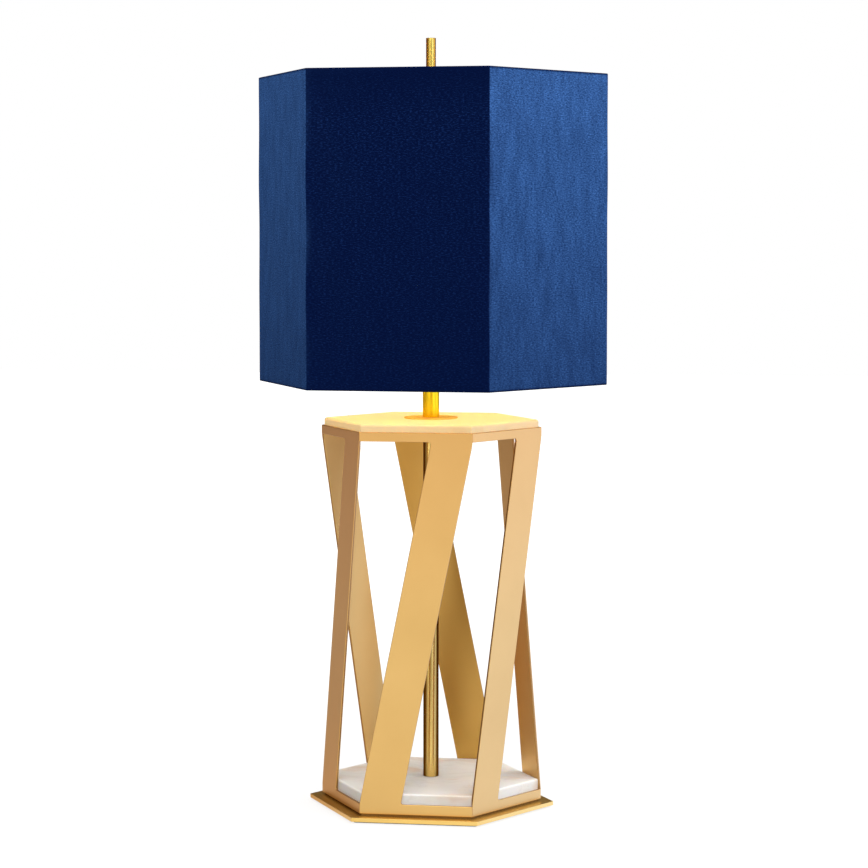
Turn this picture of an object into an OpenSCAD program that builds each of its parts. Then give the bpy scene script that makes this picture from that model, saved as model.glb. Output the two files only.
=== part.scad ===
// Table lamp: a six-sided cage of leaning bands between two marble slabs, on a flat plate,
// with a six-sided velvet shade on a harp and a plain rod finial.
// Millimetres, +Z up, origin at the centre of the underside. A corner of the base points along +X.

/* [Base] */
// Base plate, centre to corner
plate_r = 123.3; // [116:0.1:140]
// Base plate thickness
plate_t = 4; // [3:0.5:8]
// Felt pad thickness
felt_t = 1.5; // [1:0.25:4]
// Distance from the edge of the plate to the felt pad
felt_inset = 4; // [2:0.5:12]
// Open line between the base plate and the lower edge of the cage
shadow_gap = 2; // [1:0.1:2.5]
// Number of countersunk screws that hold the base plate
base_screw_count = 6; // [3:1:8]
// Distance of those screws from the centre
base_screw_circle_r = 70; // [40:1:85]
// Shank diameter of those screws
base_screw_d = 4; // [3:0.5:5]
// Head diameter of those screws
base_screw_head_d = 7.6; // [6:0.1:9]

/* [Cage] */
// Cage, centre to the outside of a corner
cage_r = 111; // [100:0.5:114]
// Cage height
cage_h = 371.7; // [300:0.1:450]
// Sheet thickness of the six panels
sheet_t = 2.4; // [1.6:0.1:3.2]
// Height of the top rail
top_rail_h = 9; // [7:0.5:20]
// Height of the bottom rail
bottom_rail_h = 10; // [9.5:0.5:20]
// Width of a leaning band, measured along the rail
band_w = 40.5; // [20:0.5:70]
// Radius in the inner corner between a band and its rail
window_corner_r = 2.2; // [0.5:0.1:6]
// Thickness of the floor plate inside the cage
floor_t = 3; // [2.6:0.1:6]
// Thickness of the roof plate inside the cage
roof_t = 3; // [2:0.5:4]
// Distance from the lower edge of the top rail up to the roof plate
roof_lift = 0.5; // [0:0.1:2]

/* [Marble] */
// Thickness of the lower slab
base_marble_t = 19; // [15:0.5:30]
// Thickness of the upper slab
top_marble_t = 13; // [10:0.5:25]
// Worn edge of the lower slab
base_marble_arris = 1; // [0.4:0.1:3]
// Rounded edge of the upper slab
top_marble_arris = 1.6; // [0.4:0.1:3]
// Gap between a slab and the sheet around it
marble_gap = 0.15; // [0.1:0.05:1]
// Diameter of the pocket for the nut under the lower slab
nut_pocket_d = 32; // [30:0.5:45]
// Depth of that pocket
nut_pocket_depth = 9; // [8:0.5:12]

/* [Cord bushing] */
// Bore for the cord
cord_bore_d = 6; // [5:0.1:6.4]
// Wall of the bushing
bushing_wall = 0.8; // [0.6:0.1:1]
// Width of its flange beyond the sleeve
bushing_flange_w = 0.7; // [0.5:0.1:1]
// Thickness of its flange
bushing_flange_t = 1.2; // [0.8:0.1:2]
// How far the sleeve reaches past the sheet
bushing_tail = 2; // [1:0.5:4]

/* [Stem] */
// Threaded pipe, outside diameter
pipe_d = 9.7; // [9:0.1:11]
// Threaded pipe, bore
pipe_bore_d = 6.5; // [6:0.1:7.5]
// Lower stem tube, outside diameter
lower_stem_d = 15.4; // [14.5:0.1:20]
// Upper stem tube, outside diameter
upper_stem_d = 16.4; // [14.5:0.1:20]
// Wall of both stem tubes
stem_wall = 1.2; // [0.8:0.1:1.6]
// Height of the bushes inside the stem tubes
stem_bush_h = 8; // [4:0.5:16]
// Rosette diameter
rosette_d = 53.5; // [36:0.5:80]
// Rosette thickness
rosette_t = 1.5; // [1:0.1:4]
// Length of the upper stem
upper_stem_h = 74; // [50:1:120]
// Stem cap diameter
stem_cap_d = 22; // [20:0.5:30]
// Stem cap thickness
stem_cap_t = 2.5; // [1.5:0.1:5]
// Clamping nut, across the flats
pipe_nut_flats = 16; // [14:0.5:19]
// Clamping nut thickness
pipe_nut_t = 4; // [3:0.5:5]
// Clamping washer diameter
pipe_washer_d = 27; // [22:0.5:29]
// Clamping washer thickness
pipe_washer_t = 1.5; // [1:0.1:2.5]
// Radial gap between the pipe and what slips over it
pipe_gap = 0.2; // [0.1:0.05:0.4]

/* [Harp] */
// Harp height, from its saddle to the seat of the shade
harp_h = 239.5; // [200:0.5:300]
// Harp wire diameter
harp_wire_d = 3.8; // [3:0.1:5]
// Distance from the axis to a harp leg
harp_leg_x = 33; // [30:0.5:40]
// Angle at which the legs spread above the sleeves
harp_flare = 14; // [8:1:18]
// Bend radius where the legs begin to spread
harp_flare_r = 40; // [20:1:80]
// Half length of the straight top of the harp
harp_crown_x = 7; // [6:0.5:12]
// Diameter of the eye in the top of the harp
harp_eye_d = 9; // [7:0.5:12]
// Height of that eye
harp_eye_h = 5; // [4.6:0.2:8]
// Thread diameter of the stud
stud_d = 6.1; // [5.5:0.1:7]
// Length of the stud above its seat
stud_h = 13; // [8:0.5:20]
// Diameter of the seat under the shade
stud_seat_d = 13; // [11:0.5:18]
// Thickness of that seat
stud_seat_t = 1.6; // [1:0.1:3]
// Diameter of the rivet that holds the stud in the eye
stud_rivet_d = 3.6; // [3:0.1:5]
// Saddle strip thickness
saddle_t = 1.6; // [1.2:0.1:2.4]
// Saddle strip width
saddle_w = 14; // [12.5:0.5:20]
// Half length of the flat part of the saddle
saddle_flat_x = 16; // [12:0.5:20]
// Rise of the slanting part of the saddle
saddle_rise = 10; // [6:0.5:16]
// Straight part of the saddle under the sleeves
saddle_shoulder_h = 4; // [2:0.5:8]
// Width of the tab that a sleeve covers
saddle_tab_w = 5; // [3:0.5:6]
// Length of a harp sleeve
sleeve_h = 15; // [10:0.5:20]
// Wall of a harp sleeve
sleeve_wall = 0.8; // [0.6:0.1:1.5]
// How far a sleeve slides up
sleeve_travel = 14; // [8:0.5:20]
// Gap inside a sleeve
sleeve_gap = 0.35; // [0.3:0.05:0.8]

/* [Lampholder] */
// Diameter of the lampholder cap
socket_cap_d = 37; // [36:0.5:42]
// Height of the lampholder cap
socket_cap_h = 22; // [18:0.5:28]
// Diameter of the neck of the cap
socket_neck_d = 14; // [13:0.5:18]
// Height of that neck
socket_neck_h = 6; // [4:0.5:9]
// Straight rim of the cap
socket_rim_h = 7; // [5:0.5:9]
// Sheet thickness of cap and shell
socket_wall = 0.8; // [0.5:0.1:1]
// Height of the whole lampholder
socket_h = 60; // [56:0.5:70]
// How far the shell reaches into the cap
socket_lap = 5; // [3:0.5:6]
// Thickness of the insulating liner
liner_wall = 0.8; // [0.5:0.1:1.2]
// Height of the moulded body
socket_body_h = 22; // [18:0.5:26]
// Bore of the screw shell
screw_shell_bore_d = 27.2; // [26.9:0.1:28]
// Wall of the screw shell
screw_shell_wall = 0.5; // [0.4:0.1:0.8]
// Gap between the nested parts of the lampholder
socket_gap = 0.15; // [0.1:0.05:0.25]
// Height of the centre contact above its floor
contact_rise = 2.2; // [1.5:0.1:3]
// Sheet thickness of the centre contact
contact_t = 0.6; // [0.4:0.1:1]
// Shaft diameter of the switch key
key_shaft_d = 4.2; // [3:0.1:5]
// Knob diameter of the switch key
key_knob_d = 11; // [8:0.5:14]
// Knob length of the switch key
key_knob_h = 11; // [6:0.5:16]
// Distance from the shell to the knob
key_reach = 6; // [3:0.5:12]
// Radial gap of the shaft in its bearing
key_gap = 0.05; // [0.02:0.01:0.1]

/* [Bulb] */
// Globe diameter
bulb_d = 60; // [45:1:66]
// Height of the globe above its cap
bulb_globe_h = 80; // [70:1:100]
// Thread diameter of the bulb cap
bulb_cap_d = 26; // [25:0.1:26.4]
// Height of the bulb cap
bulb_cap_h = 20; // [17:0.5:24]
// Height of the black insulator under the cap
bulb_insulator_h = 4; // [3:0.5:6]
// Diameter of the contact tip
bulb_tip_d = 10; // [7:0.5:12]
// Height of the contact tip
bulb_tip_h = 1.4; // [1:0.1:2.5]
// Thickness of the glass
bulb_glass_t = 1; // [0.6:0.1:1.5]
// Thickness of the metal cap
bulb_cap_t = 0.6; // [0.4:0.1:1]
// Gap between the tip and the centre contact
bulb_seat_gap = 0.3; // [0.1:0.1:0.6]

/* [Shade] */
// Shade, centre to the outside of a corner
shade_r = 177; // [150:0.5:220]
// Shade height
shade_h = 303.2; // [250:0.1:360]
// Turn of the shade against the base
shade_turn = -3.3; // [-30:0.1:30]
// Thickness of the velvet cover
cover_t = 1.2; // [0.8:0.1:2.5]
// Thickness of the liner
shade_liner_t = 0.8; // [0.6:0.1:1.5]
// Wire diameter of the top and bottom rings
ring_wire_d = 3; // [2:0.1:5]
// Distance from the edge of the shade to a ring
ring_inset = 1; // [0.5:0.1:6]
// Wire diameter of the spider arms
spider_wire_d = 3; // [2:0.1:4]
// Diameter of the spider hub
spider_hub_d = 25; // [20:0.5:40]
// Thickness of the spider hub
spider_hub_t = 2; // [1.5:0.1:4]
// Number of spider arms
spider_arm_count = 3; // [2:1:3]
// Depth of the hub below the top of the shade
fitter_drop = 21.7; // [10:0.1:50]
// Gap between the pieces of the shade
shade_gap = 0.1; // [0.05:0.05:0.5]
// Radial gap of the hub on the stud
hub_gap = 0.3; // [0.2:0.05:1]

/* [Finial] */
// Finial diameter
finial_d = 9.7; // [9:0.1:20]
// Finial height
finial_h = 56.3; // [30:0.1:90]
// Bevel on its edges
finial_bevel = 0.5; // [0.2:0.1:1.5]
// Radial gap of its thread on the stud
finial_thread_gap = 0.05; // [0.02:0.01:0.1]
// Free depth left above the stud
finial_bore_spare = 2; // [1:0.5:6]
// Diameter of the washer under the finial
finial_washer_d = 16; // [14:0.5:24]
// Thickness of that washer
finial_washer_t = 1; // [0.6:0.1:2]

/* [Hidden] */
$fn = 64;
CUT = 1;
SIDES = 6;
REAR_PANEL = 4;
ARC_STEPS = 6;
PROFILE_STEPS = 12;
WIRE_SIDES = 12;
RING_SIDES = 20;
panel_names = [for (i = [1:SIDES]) str("cage_panel_", i)];

// Levels, from the underside up
plate_z = felt_t;
floor_z = plate_z + plate_t;
cage_z = floor_z + shadow_gap;
base_marble_z = floor_z + floor_t;
lower_stem_z = base_marble_z + base_marble_t;
cage_top_z = cage_z + cage_h;
roof_z = cage_top_z - top_rail_h + roof_lift;
top_marble_z = roof_z + roof_t;
rosette_z = top_marble_z + top_marble_t;
upper_stem_z = rosette_z + rosette_t;
stem_cap_z = upper_stem_z + upper_stem_h;
saddle_z = stem_cap_z + stem_cap_t;
socket_z = saddle_z + saddle_t;
hub_z = saddle_z + harp_h;
finial_washer_z = hub_z + spider_hub_t;
finial_z = finial_washer_z + finial_washer_t;
shade_top_z = hub_z + fitter_drop;
shade_z = shade_top_z - shade_h;

// Flats, from the axis to the middle of a side
plate_flat = apothem(plate_r);
cage_flat = apothem(cage_r);
cage_inner_flat = cage_flat - sheet_t;
marble_flat = cage_inner_flat - marble_gap;
shade_flat = apothem(shade_r);
liner_flat = shade_flat - cover_t - shade_gap;
ring_flat = liner_flat - shade_liner_t - shade_gap - ring_wire_d / 2;

// Windows of a cage panel
window_low = bottom_rail_h;
window_high = cage_h - top_rail_h;
band_lean = atan((cage_r - band_w) / (window_high - window_low));

// Screws of the base plate
base_screw_gap = 0.05;

// Cord bushing
bushing_d = cord_bore_d + 2 * bushing_wall;
bushing_clear = 0.1;
bushing_lift = 0.3;
cord_z = base_marble_z + bushing_d / 2 + bushing_lift;

// Pipe and stems
pipe_r = pipe_d / 2;
pipe_hole_r = pipe_r + pipe_gap;
lower_stem_h = roof_z - lower_stem_z;
pipe_end_inset = 1.5;
pipe_end_show = 2;
bush_gap = 0.1;
pipe_z = base_marble_z + pipe_end_inset;
pipe_top_z = socket_z + socket_neck_h + pipe_end_show;
pipe_washer_z = base_marble_z + nut_pocket_depth - pipe_washer_t;
pipe_nut_z = pipe_washer_z - pipe_nut_t;

// Harp
leg_gap = 0.1;
leg_lift = 0.4;
rivet_gap = 0.1;
tab_inset = 1;
sleeve_spare = 1;
tab_face_x = harp_leg_x - harp_wire_d / 2 - leg_gap;
shoulder_z = saddle_z + saddle_rise + saddle_shoulder_h;
sleeve_x = (tab_face_x - saddle_t + harp_leg_x + harp_wire_d / 2) / 2;
sleeve_inner_r = norm([sleeve_x - tab_face_x + saddle_t, saddle_tab_w / 2]) + sleeve_gap;
sleeve_r = sleeve_inner_r + sleeve_wall;
tab_top_z = shoulder_z + sleeve_h - tab_inset;
leg_z = shoulder_z + leg_lift;
leg_top_z = shoulder_z + sleeve_h + sleeve_travel + sleeve_spare;
crown_z = hub_z - stud_seat_t - harp_eye_h / 2;
harp_dx = harp_crown_x - harp_leg_x - harp_flare_r * (1 - cos(harp_flare));
harp_dz = crown_z - leg_top_z - harp_flare_r * sin(harp_flare);
harp_side = harp_dx + harp_dz * cos(harp_flare) / (1 + sin(harp_flare));
harp_crown_r = (harp_dz * sin(harp_flare) - harp_dx * cos(harp_flare)) / (1 + sin(harp_flare));

// Lampholder
socket_cap_r = socket_cap_d / 2;
socket_neck_r = socket_neck_d / 2;
socket_shell_r = socket_cap_r - socket_wall - socket_gap;
socket_shell_z = socket_z + socket_cap_h - socket_lap;
socket_liner_r = socket_shell_r - socket_wall - socket_gap;
socket_body_r = socket_liner_r - liner_wall - socket_gap;
socket_body_lift = 1;
socket_body_z = socket_shell_z + socket_body_lift;
contact_floor_z = socket_body_z + socket_body_h;
socket_top_z = socket_z + socket_h;
screw_shell_inset = 2;
contact_w = 5;
contact_foot_x = 9;
contact_bend_x = 4;
contact_slope_x = 2;
contact_tip_x = 3;
key_rise = 12;
key_z = socket_body_z + key_rise;
key_inner_y = 5;
key_end_gap = 0.2;
key_slot_gap = 1;
key_edge = 1;
key_bearing_r = key_shaft_d / 2 + key_gap;
key_slot_r = key_shaft_d / 2 + key_slot_gap;
key_knob_y = socket_shell_r + key_reach;
terminal_head_d = 6.5;
terminal_head_h = 2;
terminal_shank_d = 3.4;
terminal_depth = 7;
terminal_recess = 1;
terminal_gap = 0.1;
terminal_rise = 9;
terminal_z = socket_body_z + terminal_rise;

// Bulb
bulb_tip_z = contact_floor_z + contact_rise + contact_t + bulb_seat_gap;
bulb_insulator_z = bulb_tip_z + bulb_tip_h;
bulb_cap_z = bulb_insulator_z + bulb_insulator_h;
bulb_globe_z = bulb_cap_z + bulb_cap_h;
bulb_centre_h = bulb_globe_h - bulb_d / 2;
bulb_neck_r = bulb_cap_d / 2;

BRASS = [0.80, 0.62, 0.33];
STEEL = [0.62, 0.62, 0.64];
MARBLE = [0.94, 0.92, 0.89];
VELVET = [0.05, 0.10, 0.24];
BLACK = [0.08, 0.08, 0.09];
WHITE = [0.95, 0.95, 0.92];

// Distance from the axis to the middle of a side, for a given distance to the corner
function apothem(corner_r) = corner_r * cos(180 / SIDES);

// Distance from the axis to the corner, for a given distance to the middle of a side
function corner(flat) = flat / cos(180 / SIDES);

// Points of an arc about a centre
function arc(centre, r, from, to, steps) =
    [for (i = [0:steps]) let (a = from + (to - from) * i / steps) centre + r * [cos(a), sin(a)]];

// Points of a cubic curve with four control points
function cubic(a, b, c, d, steps) =
    [for (i = [0:steps]) let (t = i / steps, u = 1 - t)
        u * u * u * a + 3 * u * u * t * b + 3 * u * t * t * c + t * t * t * d];

// The same points in the other order
function reversed(points) = [for (i = [len(points) - 1:-1:0]) points[i]];

// The same points mirrored to the left, in the other order
function mirrored(points) = [for (p = reversed(points)) [-p[0], p[1]]];

// Straight prism with six sides and a corner along +X
module hexagon_plate(flat, h) {
    cylinder(h = h, r = corner(flat), $fn = SIDES);
}

// Slab with six sides whose upper and lower edges are taken off
module slab(flat, h, arris) {
    hull() {
        hexagon_plate(flat - arris, h);
        translate([0, 0, arris]) hexagon_plate(flat, h - 2 * arris);
    }
}

// Ring between two radii
module ring(inner_r, outer_r, h) {
    difference() {
        cylinder(h = h, r = outer_r);
        translate([0, 0, -CUT]) cylinder(h = h + 2 * CUT, r = inner_r);
    }
}

// One wall all round, six sides
module hexagon_wall(flat, wall, h) {
    difference() {
        hexagon_plate(flat, h);
        translate([0, 0, -CUT]) hexagon_plate(flat - wall, h + 2 * CUT);
    }
}

// Closed wire ring with six straight sides
module hexagon_wire(flat, d) {
    rotate_extrude($fn = SIDES)
        translate([corner(flat), 0])
            scale([1 / cos(180 / SIDES), 1])
                circle(d = d, $fn = RING_SIDES);
}

// Repeats its children round the axis
module around(count) {
    for (i = [0:count - 1]) rotate([0, 0, 360 / count * i]) children();
}

module base_felt() {
    color(BLACK) hexagon_plate(plate_flat - felt_inset, felt_t);
}

// Countersunk screw with its head down and its head face at the origin, widened by a gap
module countersunk(gap) {
    head_h = (base_screw_head_d - base_screw_d) / 2;
    cylinder(h = head_h, d1 = base_screw_head_d + 2 * gap, d2 = base_screw_d + 2 * gap);
    cylinder(h = plate_t + floor_t, d = base_screw_d + 2 * gap);
}

module base_screw_places() {
    around(base_screw_count) translate([base_screw_circle_r, 0, plate_z]) children();
}

module base_plate() {
    color(BRASS) difference() {
        translate([0, 0, plate_z]) hexagon_plate(plate_flat, plate_t);
        base_screw_places() countersunk(base_screw_gap);
    }
}

module base_screws() {
    color(STEEL) base_screw_places() countersunk(0);
}

module cage_floor() {
    color(STEEL) difference() {
        translate([0, 0, floor_z]) hexagon_plate(cage_inner_flat, floor_t);
        translate([0, 0, floor_z - CUT]) cylinder(h = floor_t + 2 * CUT, d = nut_pocket_d);
        base_screw_places() countersunk(base_screw_gap);
    }
}

// Upper window of a panel: it opens to the left edge, and its right side is the leaning band
module upper_window() {
    left = -cage_r / 2;
    inner = cage_r / 2 - band_w;
    reach = window_corner_r / tan((90 - band_lean) / 2);
    centre = [inner - reach, window_high - window_corner_r];
    polygon(concat(
        [[left - CUT, window_low], [left - CUT, window_high]],
        arc(centre, window_corner_r, 90, -band_lean, ARC_STEPS),
        [[left, window_low]]
    ));
}

// Both windows of a panel, the lower one being the upper one turned half round
module panel_windows() {
    upper_window();
    translate([0, window_low + window_high]) rotate(180) upper_window();
}

// One flat panel of the cage with mitred ends, facing -Y before it is turned into place
module cage_panel(i) {
    mitre = sheet_t * tan(180 / SIDES);
    half = cage_r / 2;
    color(BRASS) rotate([0, 0, 360 / SIDES * (i - 1)]) difference() {
        translate([0, 0, cage_z]) linear_extrude(cage_h) polygon([
            [-half, -cage_flat],
            [half, -cage_flat],
            [half - mitre, -cage_inner_flat],
            [mitre - half, -cage_inner_flat]
        ]);
        translate([0, CUT - cage_inner_flat, cage_z])
            rotate([90, 0, 0])
                linear_extrude(sheet_t + 2 * CUT) panel_windows();
        if (i == REAR_PANEL)
            translate([0, -cage_flat - CUT, cord_z])
                rotate([-90, 0, 0])
                    cylinder(h = sheet_t + 2 * CUT, d = bushing_d + 2 * bushing_clear);
    }
}

module cage_roof() {
    color(STEEL) translate([0, 0, roof_z]) difference() {
        hexagon_plate(cage_inner_flat, roof_t);
        translate([0, 0, -CUT]) cylinder(h = roof_t + 2 * CUT, r = pipe_hole_r);
    }
}

// Lower slab: hole for the pipe, pocket for the nut, and a channel for the cord to the rear edge
module base_marble() {
    channel_w = bushing_d + 4 * bushing_clear;
    channel_top_z = cord_z + channel_w / 2;
    color(MARBLE) difference() {
        translate([0, 0, base_marble_z]) slab(marble_flat, base_marble_t, base_marble_arris);
        translate([0, 0, base_marble_z - CUT]) {
            cylinder(h = base_marble_t + 2 * CUT, r = pipe_hole_r);
            cylinder(h = nut_pocket_depth + CUT, d = nut_pocket_d);
            translate([-channel_w / 2, 0, 0])
                cube([channel_w, cage_flat, channel_top_z - base_marble_z + CUT]);
        }
    }
}

module top_marble() {
    color(MARBLE) translate([0, 0, top_marble_z]) difference() {
        slab(marble_flat, top_marble_t, top_marble_arris);
        translate([0, 0, -CUT]) cylinder(h = top_marble_t + 2 * CUT, r = pipe_hole_r);
    }
}

module cord_bushing() {
    length = bushing_flange_t + sheet_t + bushing_tail;
    color(BLACK) translate([0, cage_flat + bushing_flange_t, cord_z]) rotate([90, 0, 0]) difference() {
        union() {
            cylinder(h = bushing_flange_t, d = bushing_d + 2 * bushing_flange_w);
            cylinder(h = length, d = bushing_d);
        }
        translate([0, 0, -CUT]) cylinder(h = length + 2 * CUT, d = cord_bore_d);
    }
}

module pipe_nut() {
    color(STEEL) translate([0, 0, pipe_nut_z]) difference() {
        hexagon_plate(pipe_nut_flats / 2, pipe_nut_t);
        translate([0, 0, -CUT]) cylinder(h = pipe_nut_t + 2 * CUT, r = pipe_hole_r);
    }
}

module pipe_washer() {
    color(STEEL) translate([0, 0, pipe_washer_z]) ring(pipe_hole_r, pipe_washer_d / 2, pipe_washer_t);
}

module threaded_pipe() {
    color(STEEL) translate([0, 0, pipe_z]) ring(pipe_bore_d / 2, pipe_r, pipe_top_z - pipe_z);
}

module stem_tube(d, h) {
    ring(d / 2 - stem_wall, d / 2, h);
}

// Bushes in both ends of a stem tube
module stem_bushes(d, h) {
    for (z = [0, h - stem_bush_h])
        translate([0, 0, z]) ring(pipe_hole_r, d / 2 - stem_wall - bush_gap, stem_bush_h);
}

module lower_stem() {
    color(BRASS) translate([0, 0, lower_stem_z]) stem_tube(lower_stem_d, lower_stem_h);
}

module lower_stem_bushes() {
    color(STEEL) translate([0, 0, lower_stem_z]) stem_bushes(lower_stem_d, lower_stem_h);
}

// Disc with a small bevel along its upper edge
module rosette() {
    bevel = rosette_t / 4;
    r = rosette_d / 2;
    color(BRASS) translate([0, 0, rosette_z]) rotate_extrude() polygon([
        [pipe_hole_r, 0], [r, 0], [r, rosette_t - bevel], [r - bevel, rosette_t], [pipe_hole_r, rosette_t]
    ]);
}

module upper_stem() {
    color(BRASS) translate([0, 0, upper_stem_z]) stem_tube(upper_stem_d, upper_stem_h);
}

module upper_stem_bushes() {
    color(STEEL) translate([0, 0, upper_stem_z]) stem_bushes(upper_stem_d, upper_stem_h);
}

// Cap with a rounded edge that closes the upper stem
module stem_cap() {
    edge = stem_cap_t / 2;
    color(BRASS) translate([0, 0, stem_cap_z]) rotate_extrude() polygon(concat(
        [[pipe_hole_r, 0]],
        arc([stem_cap_d / 2 - edge, edge], edge, -90, 90, ARC_STEPS),
        [[pipe_hole_r, stem_cap_t]]
    ));
}

// Right half of the saddle strip, seen from the front: flat, slanting part, upright tab
function saddle_half_outline() =
    let (
        slant = atan(saddle_rise / (tab_face_x - saddle_flat_x)),
        low = saddle_t * tan(slant / 2),
        high = saddle_t * tan((90 - slant) / 2),
        tab_h = tab_top_z - saddle_z
    )
    [
        [saddle_flat_x, 0],
        [tab_face_x, saddle_rise],
        [tab_face_x, tab_h],
        [tab_face_x - saddle_t, tab_h],
        [tab_face_x - saddle_t, saddle_rise + high],
        [saddle_flat_x - low, saddle_t]
    ];

module harp_saddle() {
    trim_w = (saddle_w - saddle_tab_w) / 2 + CUT;
    color(BRASS) difference() {
        translate([0, saddle_w / 2, saddle_z]) rotate([90, 0, 0]) linear_extrude(saddle_w)
            polygon(concat(saddle_half_outline(), mirrored(saddle_half_outline())));
        for (y = [saddle_tab_w / 2, -saddle_tab_w / 2 - trim_w])
            translate([-tab_face_x - CUT, y, shoulder_z])
                cube([2 * (tab_face_x + CUT), trim_w, sleeve_h + CUT]);
        translate([0, 0, saddle_z - CUT]) cylinder(h = saddle_t + 2 * CUT, r = pipe_hole_r);
    }
}

// Right half of the harp wire, seen from the front: leg, flare, straight side, round crown
function harp_half_path() =
    let (
        flare_centre = [harp_leg_x + harp_flare_r, leg_top_z],
        side_start = flare_centre + harp_flare_r * [-cos(harp_flare), sin(harp_flare)],
        crown_start = side_start + harp_side * [sin(harp_flare), cos(harp_flare)],
        crown_centre = crown_start + harp_crown_r * [-cos(harp_flare), sin(harp_flare)]
    )
    concat(
        [[harp_leg_x, leg_z]],
        arc(flare_centre, harp_flare_r, 180, 180 - harp_flare, ARC_STEPS),
        arc(crown_centre, harp_crown_r, -harp_flare, 90, 3 * ARC_STEPS)
    );

// Points round a wire at one place on its path, square to the path, which lies in the XZ plane
function wire_section(path, i, d) =
    let (
        along = path[min(i + 1, len(path) - 1)] - path[max(i - 1, 0)],
        across = [-along[1], along[0]] / norm(along)
    )
    [for (k = [0:WIRE_SIDES - 1]) let (a = 360 / WIRE_SIDES * k) [
        path[i][0] + d / 2 * cos(a) * across[0],
        d / 2 * sin(a),
        path[i][1] + d / 2 * cos(a) * across[1]
    ]];

// Round wire bent along a path in the XZ plane
module bent_wire(path, d) {
    last = (len(path) - 1) * WIRE_SIDES;
    polyhedron(
        points = [for (i = [0:len(path) - 1]) each wire_section(path, i, d)],
        faces = concat(
            [for (i = [0:len(path) - 2], k = [0:WIRE_SIDES - 1])
                let (a = i * WIRE_SIDES, b = a + WIRE_SIDES, n = (k + 1) % WIRE_SIDES)
                each [[a + k, a + n, b + n], [a + k, b + n, b + k]]],
            [[for (k = [WIRE_SIDES - 1:-1:0]) k]],
            [[for (k = [0:WIRE_SIDES - 1]) last + k]]
        )
    );
}

module harp_bow() {
    eye_z = crown_z - harp_eye_h / 2;
    color(BRASS) difference() {
        union() {
            bent_wire(concat(harp_half_path(), mirrored(harp_half_path())), harp_wire_d);
            translate([0, 0, eye_z]) cylinder(h = harp_eye_h, d = harp_eye_d);
        }
        translate([0, 0, eye_z - CUT]) cylinder(h = harp_eye_h + 2 * CUT, d = stud_rivet_d + 2 * rivet_gap);
    }
}

// Stud riveted into the harp, with the seat for the shade
module harp_stud() {
    color(BRASS) translate([0, 0, crown_z - harp_eye_h / 2]) {
        cylinder(h = harp_eye_h, d = stud_rivet_d);
        translate([0, 0, harp_eye_h]) cylinder(h = stud_seat_t, d = stud_seat_d);
        translate([0, 0, harp_eye_h + stud_seat_t]) cylinder(h = stud_h, d = stud_d);
    }
}

// Sleeve over one harp leg, side -1 on the left and 1 on the right
module harp_sleeve(side) {
    color(BRASS) translate([side * sleeve_x, 0, shoulder_z]) ring(sleeve_inner_r, sleeve_r, sleeve_h);
}

// Outline of the lampholder cap: neck, bowl and straight rim, taken in by an inset
function cap_outline(inset) = concat(
    [for (i = [0:PROFILE_STEPS]) let (t = 90 * i / PROFILE_STEPS) [
        socket_neck_r - inset + (socket_cap_r - socket_neck_r) * sin(t),
        socket_neck_h + inset + (socket_cap_h - socket_rim_h - socket_neck_h) * (1 - cos(t))
    ]],
    [[socket_cap_r - inset, socket_cap_h]]
);

module socket_cap() {
    color(BRASS) translate([0, 0, socket_z]) rotate_extrude() polygon(concat(
        [[pipe_hole_r, 0], [socket_neck_r, 0]],
        cap_outline(0),
        reversed(cap_outline(socket_wall)),
        [[pipe_hole_r, socket_neck_h + socket_wall]]
    ));
}

// Round hole on the front side for the switch key
module key_hole(r) {
    translate([0, 0, key_z]) rotate([90, 0, 0]) cylinder(h = socket_cap_d, r = r);
}

// Shell with a lip turned in at the top
module socket_shell() {
    h = socket_top_z - socket_shell_z;
    lip = socket_wall + socket_gap + liner_wall;
    color(BRASS) difference() {
        translate([0, 0, socket_shell_z]) rotate_extrude() polygon([
            [socket_shell_r - socket_wall, 0],
            [socket_shell_r, 0],
            [socket_shell_r, h - socket_wall],
            [socket_shell_r - socket_wall, h],
            [socket_shell_r - lip, h],
            [socket_shell_r - lip, h - socket_wall],
            [socket_shell_r - socket_wall, h - socket_wall]
        ]);
        key_hole(key_slot_r);
    }
}

module socket_liner() {
    h = socket_top_z - socket_wall - socket_gap - socket_body_z;
    color(WHITE) difference() {
        translate([0, 0, socket_body_z]) ring(socket_liner_r - liner_wall, socket_liner_r, h);
        key_hole(key_slot_r);
    }
}

module terminal_places() {
    for (side = [-90, 90])
        translate([0, 0, terminal_z]) rotate([0, side, 0]) translate([0, 0, socket_body_r]) children();
}

// Terminal screw lying under the surface of the body, widened by a gap
module terminal_screw(gap) {
    translate([0, 0, -terminal_head_h - terminal_recess])
        cylinder(h = terminal_head_h, d = terminal_head_d + 2 * gap);
    translate([0, 0, -terminal_depth])
        cylinder(h = terminal_depth - terminal_recess, d = terminal_shank_d + 2 * gap);
}

module terminal_screws() {
    color(BRASS) terminal_places() terminal_screw(0);
}

module socket_body() {
    color(BLACK) difference() {
        translate([0, 0, socket_body_z]) cylinder(h = socket_body_h, r = socket_body_r);
        terminal_places() {
            terminal_screw(terminal_gap);
            translate([0, 0, -terminal_head_h])
                cylinder(h = terminal_head_h + CUT, d = terminal_head_d + 2 * terminal_gap);
        }
        translate([0, -key_inner_y, key_z])
            rotate([90, 0, 0])
                cylinder(h = socket_body_r, r = key_bearing_r);
    }
}

module socket_screw_shell() {
    inner = screw_shell_bore_d / 2;
    color(BRASS) translate([0, 0, contact_floor_z])
        ring(inner, inner + screw_shell_wall, socket_top_z - screw_shell_inset - contact_floor_z);
}

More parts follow.
